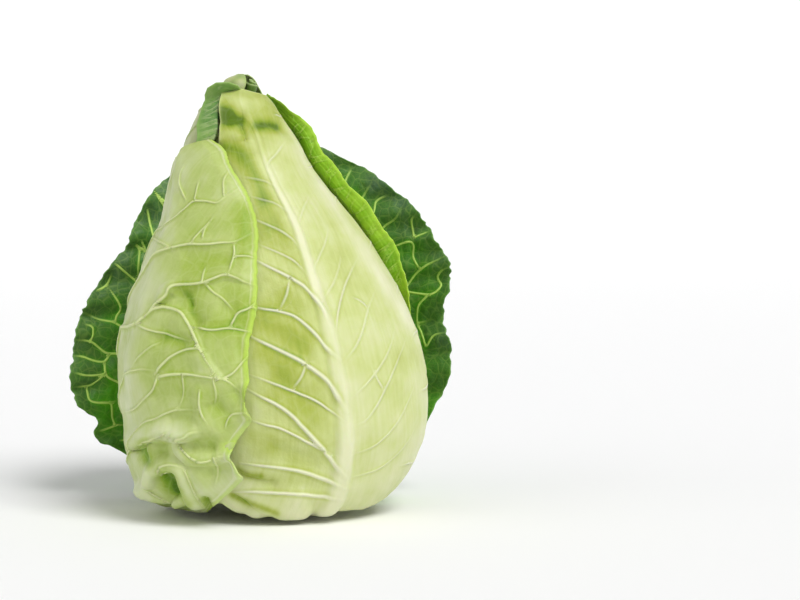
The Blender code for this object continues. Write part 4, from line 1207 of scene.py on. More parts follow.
def leaf_finish(name, colours, vein, margin, net_size, net_strength, glow, sheen=0.09, vein_edges=(0.5, 1.4),
                quilt=1.0, shade_and_tint_beside_veins=0.2):
    """A leaf material. Colours are hex codes from the ribs' cream to the deepest green, the net in metres."""
    material = bpy.data.materials.new(name)
    material.use_nodes = True
    tree = material.node_tree
    shader = tree.nodes["Principled BSDF"]
    rest = add(tree, "ShaderNodeAttribute", attribute_name="rest").outputs["Vector"]
    given = {key: add(tree, "ShaderNodeAttribute", attribute_name=key).outputs["Fac"]
             for key in LEAF_ATTRIBUTES}
    level, blotch, fibre = blade_tone(tree, given, rest, shade_and_tint_beside_veins)
    lines, cells = net_marks(tree, rest, net_size, net_strength, level)
    strong, ridge = vein_marks(tree, given, vein_edges)
    lines = add(tree, MATH, {0: lines, 1: strong}, operation="MAXIMUM")
    ramp = add(tree, "ShaderNodeValToRGB", {"Fac": level})
    ramp.color_ramp.elements[0].color = colour(colours[0])
    ramp.color_ramp.elements[1].color = colour(colours[-1])
    for stop, code in zip(TONE_STOPS, colours[1:-1]):
        ramp.color_ramp.elements.new(stop).color = colour(code)
    veined = add(tree, "ShaderNodeMix", {0: lines, 6: ramp.outputs["Color"], 7: colour(vein)},
                 data_type="RGBA").outputs[2]
    edged = add(tree, "ShaderNodeMix", {0: given["rim"], 6: veined, 7: colour(margin)},
                data_type="RGBA").outputs[2]
    rough = add(tree, MAP_RANGE, {0: blotch, 1: -BLOTCH, 2: BLOTCH, 3: ROUGHNESS[0], 4: ROUGHNESS[1]})
    raised = add(tree, NOISE, {"Vector": rest, "Scale": GRAIN_SCALE, "Detail": 2.0})
    raised = add(tree, MATH, {0: lines, 1: raised}, operation="ADD")
    for part, weight in ((fibre, 0.9), (cells, quilt)):
        raised = add(tree, MATH, {0: part, 1: weight, 2: raised}, operation="MULTIPLY_ADD")
    bump = add(tree, "ShaderNodeBump", {"Height": raised, "Strength": 0.4, "Distance": 0.0003})
    bump = add(tree, "ShaderNodeBump", {"Height": ridge, "Strength": 1.0, "Distance": 1.0, "Normal": bump})
    tree.links.new(edged, shader.inputs["Base Color"])
    tree.links.new(rough.outputs[0], shader.inputs["Roughness"])
    tree.links.new(bump.outputs[0], shader.inputs["Normal"])
    for socket, value in (("IOR", 1.42), ("Specular IOR Level", 0.4), ("Subsurface Weight", glow),
                          ("Subsurface Radius", (0.6, 1.0, 0.25)), ("Subsurface Scale", 0.0007),
                          ("Sheen Weight", sheen), ("Sheen Roughness", 0.45)):
        shader.inputs[socket].default_value = value
    return material


print("leaf material reads", len(LEAF_ATTRIBUTES), "attributes")

# %% The leaves' materials
# Cabbage leaf that grew wrapped up: a satin skin of wax over tissue that is cream by the ribs and soft
# yellow-green between them.
FRONT_FINISH = leaf_finish("pale_wrapper_leaf", ("#dadcb4", "#c2cb84", "#a4b04a", "#829a20", "#587606"),
                           "#e4e5c6", "#cfdc92", 0.012, 0.1, 0.2, vein_edges=(0.3, 1.8))
# The same leaf where more light reached it: greener, with a clear net and a quilted blade.
LEFT_FINISH = leaf_finish("green_wrapper_leaf", ("#cad2a2", "#b2c172", "#9ab044", "#7ca01a", "#588006"),
                          "#d8e0a4", "#b4d250", 0.010, 0.24, 0.2, quilt=2.5)
# A tender inner leaf: pale and smooth, and blue-green where its folded margin was in the light.
INNER_FINISH = leaf_finish("inner_wrapper_leaf", ("#ccd0a6", "#aab576", "#759a48", "#507f3c", "#3a6a2e"),
                           "#bccb8c", "#a4c56c", 0.009, 0.16, 0.2)
# A loose leaf, thin enough to glow when light comes through it: a bright yellow-green.
BRIGHT_FINISH = leaf_finish("sunlit_outer_leaf", ("#c4dc62", "#a2cc34", "#80b414", "#6aa40e", "#508a08"),
                            "#bcdc60", "#c0e050", 0.010, 0.25, 0.35)
# An old leaf that grew in full sun: thick, deep green and puckered, with lime veins and little sheen.
DARK_FINISH = leaf_finish("dark_open_leaf", ("#68ac12", "#4a9612", "#447826", "#466e32", "#4a6c46"),
                          "#cdec78", "#76a84c", 0.006, 0.26, 0.1, sheen=0.03, vein_edges=(0.7, 1.35),
                          quilt=5.0, shade_and_tint_beside_veins=-0.22)
print("leaf materials", 5)

# %% [markdown]
# ## Making a leaf
# Each leaf goes through the same steps: lay the sheet, lay and grow its veins, mark where the colour turns
# green, give the sheet its thickness, and raise the veins with the tree. Tints are lines on the photograph
# again: a strength, a half width in millimetres and a few pixels. Solidify gives most leaves their
# thickness. The two leaves in front need the finest outer face, so their inner face, which hardly shows,
# gets a quarter of the rows and columns. That keeps each piece light enough to export whole.

# %% Tones, painted shade and tints
# Painted shade: a fold's pocket gets a greener tone and its ridge a paler one, this much a millimetre.
POCKET_SHADE = 0.04
TINT_FACING, TINT_STEP = (-0.1, 0.3), 3.0


def drawn(sheet, shade_and_tint_strokes):
    """Soft strokes on a sheet, where the photograph shows them."""
    points, normals = sheet["points"].reshape(-1, 3), sheet["normals"].reshape(-1, 3)
    place = seen(points)
    facing = ease(*TINT_FACING, -normals[:, 1])
    strokes = np.zeros(len(points))
    for strength, half_width, pixels in shade_and_tint_strokes:
        distance = beside_line(place, smooth_line(from_pixel(pixels), TINT_STEP))[0]
        strokes += strength * np.exp(-((distance / half_width) ** 2)) * facing
    return strokes


def tone_with_painted_shade(sheet, base, shade_and_tint_strokes):
    """The tone of each point, from 0, cream, to 1, deep green. Painted shade greens pockets and pales ridges.
    """
    return base - POCKET_SHADE * sheet["relief"] + drawn(sheet, shade_and_tint_strokes)


def fibres(sheet):
    """Each point's place beside the midrib and along it, in millimetres, for the streaks of the fibres."""
    return (("beside_rib", sheet["from_rib"] * np.sign(sheet["across"])),
            ("along_rib", sheet["share"] * LEAF_LENGTH))


print("tints ready")

# %% A closed leaf with a coarse inner face
INNER_STEP = 4


def grid_faces(rows, columns):
    """The faces between the rows and columns of a grid of points."""
    corner = (np.arange(rows - 1)[:, None] * columns + np.arange(columns - 1)).ravel()
    return np.stack([corner, corner + 1, corner + columns + 1, corner + columns], axis=-1)


def coarse_faces(rows, columns, row_steps, column_steps, index):
    """Faces of the inner side. Along the border they take in every point, so the leaf stays closed."""
    faces = []
    for r0, r1 in zip(row_steps[:-1], row_steps[1:]):
        for c0, c1 in zip(column_steps[:-1], column_steps[1:]):
            foot = range(c0, c1) if r0 == 0 else (c0,)
            right = range(r0, r1) if c1 == columns - 1 else (r0,)
            top = range(c1, c0, -1) if r1 == rows - 1 else (c1,)
            left = range(r1, r0, -1) if c0 == 0 else (r1,)
            loop = [index[r0, c] for c in foot] + [index[r, c1] for r in right]
            loop += [index[r1, c] for c in top] + [index[r, c0] for r in left]
            faces.append([int(k) for k in reversed(loop)])
    return faces


def two_faced_mesh(name, sheet, tone, rim):
    """The leaf as a closed body, whose inner face has a quarter of the outer one's rows and columns."""
    rows, columns = sheet["shape"]
    index = np.arange(rows * columns).reshape(rows, columns)
    row_steps = np.unique(np.append(np.arange(0, rows, INNER_STEP), rows - 1))
    column_steps = np.unique(np.append(np.arange(0, columns, INNER_STEP), columns - 1))
    kept = np.zeros((rows, columns), bool)
    kept[np.ix_(row_steps, column_steps)] = True
    kept[0], kept[-1], kept[:, 0], kept[:, -1] = True, True, True, True
    inner_index = np.full((rows, columns), -1)
    inner_index[kept] = rows * columns + np.arange(kept.sum())
    inner = coarse_faces(rows, columns, row_steps, column_steps, inner_index)
    border = np.concatenate([index[0, :-1], index[:-1, -1], index[-1, :0:-1], index[:0:-1, 0]])
    below = inner_index.ravel()[border]
    rim_faces = [[int(a), int(c), int(d), int(b)]
                 for a, b, c, d in zip(border, np.roll(border, -1), below, np.roll(below, -1))]
    wall = sheet["normals"] * sheet["thickness"].reshape(rows, columns, 1)
    points = np.vstack([sheet["points"].reshape(-1, 3), (sheet["points"] - wall)[kept]])
    mesh = bpy.data.meshes.new(name)
    mesh.from_pydata(points * MM, [], grid_faces(rows, columns).tolist() + inner + rim_faces)
    kept = kept.ravel()
    for attribute, values in (("tone", tone), ("rim", rim), *fibres(sheet)):
        stored(mesh, attribute, np.concatenate([values, values[kept]]))
    stored(mesh, "outside", np.concatenate([np.ones(rows * columns), np.zeros(kept.sum())]))
    return mesh


print("inner face has every", INNER_STEP, "th row")

# %% An open sheet that Solidify thickens
THICKNESS_STEPS = 20


def sheet_object(name, sheet, tone, rim):
    """The open sheet as a mesh object, with its thickness in a vertex group."""
    rows, columns = sheet["shape"]
    mesh = bpy.data.meshes.new(name)
    mesh.from_pydata(sheet["points"].reshape(-1, 3) * MM, [], grid_faces(rows, columns).tolist())
    outside = sheet.get("outside", np.ones(rows * columns))
    for attribute, values in (("tone", tone), ("rim", rim), ("outside", outside), *fibres(sheet)):
        stored(mesh, attribute, values)
    leaf = linked(name, mesh)
    group = leaf.vertex_groups.new(name="thickness")
    thickest = sheet["thickness"].max()
    for step in range(THICKNESS_STEPS + 1):
        chosen = np.nonzero(np.rint(sheet["thickness"] / thickest * THICKNESS_STEPS) == step)[0]
        if len(chosen):
            group.add(chosen.tolist(), step / THICKNESS_STEPS, "REPLACE")
    wall = leaf.modifiers.new("Wall", "SOLIDIFY")
    wall.thickness = thickest * MM
    wall.offset = -1.0
    wall.vertex_group = "thickness"
    return leaf


print("sheets ready")

# %% Grow a leaf
def plain_mesh(obj, name):
    """The object's evaluated result as a plain mesh object, with the object itself removed."""
    graph = bpy.context.evaluated_depsgraph_get()
    mesh = bpy.data.meshes.new_from_object(obj.evaluated_get(graph), preserve_all_data_layers=True,
                                           depsgraph=graph)
    mesh.name = name
    made = linked(name, mesh)
    bpy.data.objects.remove(obj)
    mesh.shade_smooth()
    return made


def give_tree(obj, name, tree, settings):
    """Puts a node tree on an object, and sets the tree's inputs by their identifiers."""
    modifier = obj.modifiers.new(name, "NODES")
    modifier.node_group = tree
    for item in tree.interface.items_tree:
        if item.in_out == "INPUT" and item.name in settings:
            modifier[item.identifier] = settings[item.name]


def grow_leaf(name, node, sheet, lines, tone, rim, finish, relief, rooting=0.12):
    """A finished leaf in place of its CAD node. Relief holds the vein tree's inputs."""
    if sheet["both_faces"]:
        leaf = sheet_object(name + "_sheet", sheet, tone, rim)
    else:
        leaf = linked(name + "_body", two_faced_mesh(name, sheet, tone, rim))
    veins = vein_object(name + "_veins", lines, rooting)
    give_tree(leaf, "Veins", VEIN_TREE, {"Vein lines": veins, "Finish": finish, **relief})
    if sheet["both_faces"]:
        # The veins come before the wall, so both faces follow them.
        leaf.modifiers.move(len(leaf.modifiers) - 1, 0)
    made = plain_mesh(leaf, name)
    bpy.data.objects.remove(veins)
    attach(made, "root")
    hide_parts(node)
    print(name, len(made.data.polygons), "faces")
    return made


print("leaf steps ready")

# %% [markdown]
# ## The front leaf
# The pale leaf in front has the thickest midrib, which comes up from the stalk and leans left to the tip.
# It is cream where the ribs are. Painted shade makes it greener in the hollow beside the left leaf's edge,
# left of its midrib, between its ribs and under the tip. A paler strip along its right outline is partly
# its wax bloom, partly painted sheen.
# Its ribs are broad and soft, so they rise slowly from the midrib and their ridges are widened.

# %% Painted shade and tints of the front leaf
# Most strokes paint shade: the recess beside the left leaf's edge, the band left of the midrib, the valleys
# between the ribs, the creases at the foot and the patches under the curl. The negative ones are paler: the
# top edge and the midrib, their own cream, and a strip along the right outline, partly wax bloom, partly
# painted sheen.
# strength, half width and the stroke's pixels
FRONT_SHADE_AND_TINTS = (
    (0.38, 3.8, ((221, 110), (227, 112))),
    (0.42, 3.8, ((221, 121), (229, 121))),
    (0.26, 2.6, ((228, 114), (235, 118), (242, 118))),
    (0.19, 2.8, ((243, 122), (244, 132))),
    (0.44, 3.2, ((256, 124), (266, 124), (275, 126))),
    (0.15, 2.0, ((277, 127), (284, 132), (291, 139))),
    (0.36, 4.6, ((224, 145), (236, 147), (246, 157), (256, 176), (262, 196))),
    (0.17, 4.5, ((256, 150), (264, 172), (278, 202), (292, 240), (309, 282), (324, 320), (333, 356),
                 (338, 392))),
    (0.09, 4.5, ((338, 392), (338, 420), (338, 455))),
    (0.13, 5.6, ((266, 206), (268, 232))),
    (0.13, 6.2, ((268, 272), (284, 284), (300, 296))),
    (0.13, 6.2, ((270, 316), (288, 326), (304, 340))),
    (0.17, 7.5, ((264, 350), (276, 360), (290, 368))),
    (0.11, 6.2, ((272, 386), (296, 398), (314, 412))),
    (0.16, 7.0, ((246, 428), (258, 431), (272, 434))),
    (0.09, 6.2, ((262, 446), (290, 452), (312, 458))),
    (0.46, 2.1, ((238, 464), (248, 469), (260, 470))),
    (0.11, 3.8, ((262, 471), (290, 475))),
    (0.52, 2.0, ((231, 490), (245, 497), (262, 503), (276, 509))),
    (-0.2, 3.8, ((224, 99), (233, 99), (242, 102))),
    (-0.14, 5.0, ((251, 128), (257, 144), (268, 166), (290, 205), (305, 240), (320, 280), (336, 322),
                  (352, 378), (356, 430))),
    (-0.26, 3.2, ((286, 110), (306, 150), (328, 194), (356, 238), (382, 278), (406, 314), (420, 338))),
)
print("front tints", len(FRONT_SHADE_AND_TINTS))

# %% Front leaf
front = lay_sheet(FRONT_LEAF, spaced(270, (-1, -0.9, -0.8, 0.8, 0.9, 1), (1, 1, 1.6, 1.6, 1, 1)))
share = front["share"]
rib_near = on_midrib(front["from_rib"], share, 0.6, 6.2) * (1 - 0.75 * ease(0.8, 0.9, share))
# Painted shade on the left half, beside the left leaf's edge and left of the midrib.
left_side_shade = (front["across"] < 0) * ease(4, 12, front["from_rib"])
front_tone = 0.3 - 0.27 * rib_near - 0.17 * (1 - ease(0.05, 0.4, share))
front_tone += 0.14 * left_side_shade * (0.3 + 0.7 * ease(0.2, 0.38, share))
# Greener at the top under the curl: partly its own colour, partly painted shade.
front_tone += 0.3 * ease(0.86, 0.93, share)
front_tone = tone_with_painted_shade(front, front_tone, FRONT_SHADE_AND_TINTS)
front_rim = 0.8 * np.exp(-front["to_margin"] / 1.2)
front_lines = laid_lines(front, FRONT_VEINS) + grown_lines(front, (1,), 9, 0.6, 3, reach_from=0.5)
grow_leaf("front_wrapper", "front_leaf", front, front_lines, front_tone, front_rim, FRONT_FINISH,
          {"Widening": 0.001, "Swell": 0.0001, "Net size": 0.011, "Net height": 0.00006,
           "Unevenness": 0.0012}, rooting=0.34)

# %% [markdown]
# ## The left leaf
# The left leaf is wrapped over the front leaf, and its free edge runs down the front. Its raised veins
# make a wide net, and its foot is crumpled against the table. The free edge is a narrow yellow-green
# band that narrows towards the tip, with a darker line behind it.

# %% Painted shade and tints of the left leaf
# Most strokes paint shade: greener, darker hollows, pits and creases, and the undersides of folds at the
# foot.
LEFT_SHADE_AND_TINTS = (
    (0.16, 8.8, ((205, 330), (217, 345), (232, 357), (246, 366))),
    (0.14, 8.8, ((200, 294), (212, 307), (226, 313))),
    (0.1, 6.2, ((234, 285), (247, 290))),
    (0.14, 6.9, ((190, 263), (208, 257), (222, 251))),
    (0.1, 6.2, ((242, 203), (246, 225))),
    (0.16, 4.0, ((168, 332), (181, 334), (192, 338))),
    (0.17, 2.5, ((163, 300), (169, 292), (175, 287))),
    (0.17, 2.5, ((183, 285), (190, 291), (194, 306))),
    (0.1, 6.2, ((160, 392), (176, 386), (192, 382))),
    (0.12, 5.0, ((178, 411), (195, 412))),
    (0.17, 7.5, ((208, 395), (216, 406), (228, 417))),
    (0.12, 7.5, ((228, 390), (242, 394))),
    (0.08, 7.5, ((250, 232), (254, 270), (252, 320))),
    (0.5, 3.2, ((141, 440), (146, 449), (148, 458))),
    (0.17, 4.2, ((163, 437), (164, 450))),
    (0.12, 7.5, ((186, 439), (200, 441), (214, 443))),
    (0.5, 4.0, ((165, 471), (166, 481), (172, 487))),
    (0.45, 2.2, ((173, 475), (178, 487), (187, 499))),
    (0.4, 2.6, ((150, 503), (166, 505), (186, 506))),
    (0.45, 2.6, ((205, 495), (208, 503))),
    (0.1, 6.2, ((200, 462), (212, 468))),
    # Paler along the left outline: partly the wax bloom's own paleness, partly painted sheen.
    (-0.2, 12.5, ((122, 400), (119, 350), (132, 308), (146, 268), (162, 226), (172, 190), (182, 160))),
)
LEFT_CURLS = (
    (0.9, 2.6, ((250, 376), (256, 388), (253, 400))),
    (0.9, 2.6, ((227, 440), (236, 438), (247, 447))),
)
print("left tints", len(LEFT_SHADE_AND_TINTS))

# %% Left leaf
left = lay_sheet(LEFT_LEAF, spaced(270, (-1, -0.3, -0.2, 1), (1, 1, 2.4, 2.4)))
rib_near = on_midrib(left["from_rib"], left["share"], 1.5, 5.5)
# Paler at the foot: partly the leaf's own pale base, partly painted light where little light falls.
left_tone = 0.4 - 0.35 * rib_near - 0.25 * (1 - ease(0.12, 0.42, left["share"]))
left_tone = tone_with_painted_shade(left, left_tone, LEFT_SHADE_AND_TINTS)
band = 1.2 + 0.9 * (1 - ease(0.72, 0.9, left["share"]))
left_rim = 0.4 * np.exp(-left["to_margin"] / 1.2)
left_rim = np.where(left["across"] > 0, 0.8 * (1 - ease(band - 0.8, band + 0.6, left["from_edge"])), left_rim)
left_rim *= 0.5 + 0.5 * ease(0.3, 0.36, left["share"])
left_rim = np.clip(left_rim + drawn(left, LEFT_CURLS), 0, 0.95)
left_tone -= 0.3 * np.exp(-(((left["from_edge"] - band - 0.9) / 0.5) ** 2)) * (left["across"] > 0)
left_lines = laid_lines(left, LEFT_VEINS, LEFT_ROOTED) + grown_lines(left, (-1,), 9, 1.1, 5)
grow_leaf("left_wrapper", "left_leaf", left, left_lines, left_tone, left_rim, LEFT_FINISH,
          {"Ridge height": 1.45, "Seed": 2.0})

# %% [markdown]
# ## The tip leaf and the bright leaf
# The tip leaf curls over the point, and its margin folds out as a blue-green flap. The leaf behind on the
# right is looser: its bright margin stands off the head and is lit through. Fine cross veins near the
# edge, which are grown like the side ribs but close together, give both margins their ribbed look.

# %% Tip leaf
# The dark strokes paint shade inside the roll of the curl and under its lower margin; the negative one is
# paler.
TIP_SHADE_AND_TINTS = (
    (0.22, 1.6, ((226, 93), (231, 85), (240, 77))),
    (-0.1, 2.0, ((235, 92), (241, 84))),
    (0.24, 1.6, ((245, 77), (250, 83), (254, 92))),
    (0.16, 1.4, ((228, 94), (238, 90), (248, 88))),
)
tip = lay_sheet(TIP_LEAF, spaced(161, (-1, 0.3, 0.5, 1), (1, 1, 2.5, 2.5)), rows=220, both_faces=True)
flap = ease(0.62, 0.66, tip["share"]) * (1 - ease(0.925, 0.935, tip["share"])) * (tip["across"] > 0)
flap = flap * (1 - ease(14, 18, tip["from_edge"]))
tip_tone = 0.22 + 0.05 * ease(0.92, 0.96, tip["share"]) + 0.46 * flap
tip_tone = tone_with_painted_shade(tip, tip_tone, TIP_SHADE_AND_TINTS)
tip_rim = 0.5 * np.exp(-tip["to_margin"] / 1.0)
tip_lines = grown_lines(tip, (-1, 1), 10, 0.9, 7)
tip_lines += grown_lines(tip, (1,), 38, 0.5, 8, reach_from=0.76, reach_to=0.99)
# No vein stands out of the tight fold, where ridges would run into each other.
tip["outside"] = 1 - 0.97 * flap_fold(tip["share"], tip["from_edge"], tip["across"])
grow_leaf("tip_wrapper", "tip_leaf", tip, tip_lines, tip_tone, tip_rim, INNER_FINISH,
          {"Ridge height": 1.1, "Swell": 0.0001, "Unevenness": 0.001, "Seed": 3.0})

# %% Right leaf
right = lay_sheet(RIGHT_LEAF, spaced(171, (-1, -0.6, -0.4, 1), (2.2, 2.2, 1, 1)), rows=240, both_faces=True)
right_tone = 0.12 + 0.42 * (1 - ease(6, 26, right["to_margin"]))
right_rim = 0.7 * np.exp(-right["to_margin"] / 1.1)
right_lines = grown_lines(right, (-1, 1), 12, 1.1, 9, reach_to=0.97) + midrib_line(right, 2.0, 0.05, 0.96)
right_lines += grown_lines(right, (-1,), 20, 0.6, 10, reach_from=0.76, reach_to=0.99)
grow_leaf("right_wrapper", "right_leaf", right, right_lines, right_tone, right_rim,
          BRIGHT_FINISH, {"Ridge height": 1.2, "Swell": 0.0004, "Seed": 4.0})

# %% [markdown]
# ## The heart
# Inside the wrappers the head is a tight bud of pale leaves. Only its point shows, in the open side of
# the curl: one small leaf rolled up like a scroll. The bud is a closed form with the edges of its leaves
# winding up it, because its leaves lie too close to be told apart. The scroll is a spiral strip with its
# own thickness.

# %% Bud and scroll
BUD_COLUMNS, BUD_ROWS = 140, 110
BUD_TOP = 226.0
BUD_INSIDE, BUD_EDGE, BUD_NECK = 1.6, 1.3, 2.0
SCROLL_FOOT, SCROLL_AXIS, SCROLL_HEIGHT = (-14.5, -2.5, 219.0), (0.2, -0.16, 0.96), 14.0
SCROLL_TURNS, SCROLL_INNER, SCROLL_OUTER, SCROLL_WALL = 2.2, 0.9, 3.6, 0.45
SCROLL_ROWS, SCROLL_STEPS = 26, 150


def bud():
    """Points of the bud as a closed grid, and its faces."""
    turn, girth = np.meshgrid(np.linspace(0, 360, BUD_COLUMNS, endpoint=False),
                              np.linspace(HEAD_OUTLINE[0][0], BUD_TOP, BUD_ROWS), indexing="xy")
    turn, girth = turn.ravel(), girth.ravel()
    wrap = ((turn + 1.1 * girth) % 120) / 120
    edge = wrap**2 * (1 - ease(0.94, 1, wrap))
    lift = -BUD_INSIDE - BUD_EDGE * edge * ease(20, 60, girth) - BUD_NECK * ease(214, 226, girth)
    points, _ = head_point(turn, girth, lift)
    foot = points[:BUD_COLUMNS].mean(axis=0) + (0, 0, 1.5)
    top = points[-BUD_COLUMNS:].mean(axis=0) + (0, 0, 1.0)
    points = np.vstack([points, foot, top])
    ring = np.arange(BUD_COLUMNS)
    faces = [(r * BUD_COLUMNS + k, r * BUD_COLUMNS + (k + 1) % BUD_COLUMNS,
              (r + 1) * BUD_COLUMNS + (k + 1) % BUD_COLUMNS, (r + 1) * BUD_COLUMNS + k)
             for r in range(BUD_ROWS - 1) for k in ring]
    last = (BUD_ROWS - 1) * BUD_COLUMNS
    faces += [((k + 1) % BUD_COLUMNS, k, len(points) - 2) for k in ring]
    faces += [(last + k, last + (k + 1) % BUD_COLUMNS, len(points) - 1) for k in ring]
    return points, faces


def scroll(rows, steps):
    """Points and faces of the rolled leaf's strip, a spiral round its axis that opens a little upwards."""
    axis = Vector(SCROLL_AXIS).normalized()
    side = axis.orthogonal().normalized()
    front = axis.cross(side)
    wind, up = np.meshgrid(np.linspace(0, 1, steps), np.linspace(0, 1, rows), indexing="xy")
    wind, up = wind.ravel(), up.ravel()
    radius = (SCROLL_INNER + (SCROLL_OUTER - SCROLL_INNER) * wind) * (0.85 + 0.15 * up)
    angle = 2 * math.pi * SCROLL_TURNS * wind
    rim = SCROLL_HEIGHT - 3.5 * wind**2 + 0.5 * np.sin(9 * wind)
    points = (np.array(SCROLL_FOOT) + np.outer(up * rim, axis) + np.outer(radius * np.cos(angle), side)
              + np.outer(radius * np.sin(angle), front))
    return points, grid_faces(rows, steps)


bud_points, bud_faces = bud()
scroll_points, scroll_faces = scroll(SCROLL_ROWS, SCROLL_STEPS)
print("bud", len(bud_faces), "faces, scroll", len(scroll_faces), "faces")

# %% Dress the heart
# The heart's leaves: dense and pale, and dark green towards the point.
HEART_FINISH = leaf_finish("packed_heart_leaf", ("#d9dca0", "#b9c878", "#6f9434", "#2f5a16"), "#c9d48c",
                           "#a9c07a", 0.007, 0.25, 0.2)


def part_object(name, points, faces, tone, rim):
    """A mesh with the attributes that the leaf material reads."""
    mesh = bpy.data.meshes.new(name)
    mesh.from_pydata(points * MM, [], [tuple(map(int, face)) for face in faces])
    no_vein = np.full(len(points), SIDE_LIMIT)
    for attribute, values in (("tone", tone), ("rim", rim), ("vein_gap", no_vein), ("rest", points * MM)):
        stored(mesh, attribute, values)
    mesh.materials.append(HEART_FINISH)
    return linked(name, mesh)


bud_tone = 0.2 + 0.7 * ease(205, 224, bud_points[:, 2])
scroll_row = np.arange(len(scroll_points)) // SCROLL_STEPS
rolled = part_object("scroll_strip", scroll_points, scroll_faces, np.full(len(scroll_points), 0.75),
                     0.8 * (scroll_row > SCROLL_ROWS - 3))
wall = rolled.modifiers.new("Wall", "SOLIDIFY")
wall.thickness, wall.offset = SCROLL_WALL * MM, 0.0
rolled = plain_mesh(rolled, "scroll_leaf")
heart = part_object("packed_heart", bud_points, bud_faces, bud_tone, np.zeros(len(bud_points)))
heart.data.shade_smooth()
bpy.ops.object.select_all(action="DESELECT")
rolled.select_set(True)
heart.select_set(True)
bpy.context.view_layer.objects.active = heart
bpy.ops.object.join()
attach(heart, "root")
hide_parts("heart")
print("heart", len(heart.data.polygons), "faces")

# %% [markdown]
# ## Dressing the open leaf
# The old outer leaf is dark green, with lime veins sunk in the face towards the viewer and standing
# out behind. The blade is puckered between them, so its swell is the largest, and its edge is scalloped.

# %% Open leaf
outer_columns = spaced(211, (-1, -0.5, -0.3, 0.3, 0.5, 1), (2, 2, 1, 1, 2, 2))
outer = lay_sheet(OUTER_LEAF, outer_columns, rows=225, both_faces=True)
outer_tone = 0.55 + 0.3 * (1 - ease(3, 30, outer["to_margin"])) - 0.5 * (1 - ease(0.15, 0.5, outer["share"]))
outer_tone = np.where(outer["share"] < 0.15, 0, outer_tone)
outer_rim = 0.4 * np.exp(-outer["to_margin"] / 1.0)
outer_lines = laid_lines(outer, OUTER_VEINS, OUTER_ROOTED, 0.12) + midrib_line(outer, 3.0, 0.03, 0.97)
outer_lines += grown_lines(outer, (-1, 1), 8, 1.2, 11, reach_to=0.6, climb=0.12)
print("ribs from the midrib to drawn veins", len(outer["roots"]))
grow_leaf("open_outer_leaf", "outer_leaf", outer, outer_lines, outer_tone, outer_rim,
          DARK_FINISH, {"Ridge height": 0.1, "Swell": 0.0013, "Net size": 0.008, "Net height": -0.0002,
                        "Unevenness": 0.0025, "Seed": 5.0})

# %% [markdown]
# ## The cut stalk
# The head was cut off its root with a knife, and it stands on that cut. The cut face is hollowed a little,
# so it rests on its rim. Inside the green-white rind a ring of vascular bundles shows as small pale dots
# round the softer pith. A row of dots is what repeats here, so a Geometry Nodes tree sets them on a circle
# and joins them to the turned stub.

# %% Stub, and a tree for its ring of bundles
STUB_PROFILE = ((0.6, 13.0), (8.0, 13.0), (14.5, 12.8), (17.2, 11.2), (18.4, 8.6), (18.7, 5.0), (18.6, 1.8),
                (18.2, 0.5), (17.2, 0.05), (15.5, 0.4), (12.0, 0.7), (6.0, 0.85), (0.6, 0.9))
STUB_TURNS = 120
BUNDLE_INPUTS = (("Stub", "Geometry", None), ("Bundles", "Int", 40), ("Ring radius", "Float", 0.0138),
                 ("Bundle size", "Float", 0.0006), ("Face height", "Float", 0.0005), ("Seed", "Int", 3),
                 ("Finish", "Material", None))
BUNDLE_STRAY = 0.0008


def bundle_tree():
    """The tree that sets a ring of vascular bundles on the cut face."""
    tree, given = new_tree("stalk_bundles", BUNDLE_INPUTS, "Stub")
    ring = add(tree, "GeometryNodeMeshCircle", {"Vertices": given["Bundles"], "Radius": given["Ring radius"]})
    far = (BUNDLE_STRAY, BUNDLE_STRAY, 0.0)
    stray = add(tree, "FunctionNodeRandomValue", {"Min": tuple(-way for way in far), "Max": far,
                                                  "Seed": given["Seed"]}, data_type="FLOAT_VECTOR")
    lift = add(tree, "ShaderNodeCombineXYZ", {"Z": given["Face height"]})
    offset = add(tree, VECTOR_MATH, {0: stray, 1: lift}, operation="ADD")
    placed = add(tree, "GeometryNodeSetPosition", {"Geometry": ring.outputs["Mesh"], "Offset": offset})
    bead = add(tree, "GeometryNodeMeshIcoSphere", {"Radius": given["Bundle size"], "Subdivisions": 2})
    flat = add(tree, "GeometryNodeTransform", {"Geometry": bead.outputs["Mesh"], "Scale": (1.0, 1.0, 0.6)})
    size = add(tree, "FunctionNodeRandomValue", {2: 0.6, 3: 1.2, "Seed": given["Seed"]}, data_type="FLOAT")
    beads = add(tree, "GeometryNodeInstanceOnPoints",
                {"Points": placed, "Instance": flat, "Scale": size.outputs[1]})
    joined = add(tree, "GeometryNodeJoinGeometry")
    tree.links.new(given["Stub"], joined.inputs[0])
    tree.links.new(beads.outputs[0], joined.inputs[0])
    real = add(tree, "GeometryNodeRealizeInstances", {"Geometry": joined})
    done = add(tree, "GeometryNodeSetMaterial", {"Geometry": real, "Material": given["Finish"]})
    add(tree, "NodeGroupOutput", {"Stub": done})
    return tree


BUNDLE_TREE = bundle_tree()
print("bundle tree", len(BUNDLE_TREE.nodes), "nodes")

# %% A material for the cut stalk
STALK_RADIUS, STALK_UNEVEN = 0.019, 0.001
STALK_CLOUDS = 160.0  # about 6 mm across
STRAND_SCALE = 900.0  # fibres about 1 mm apart, and 9 mm long up the stalk


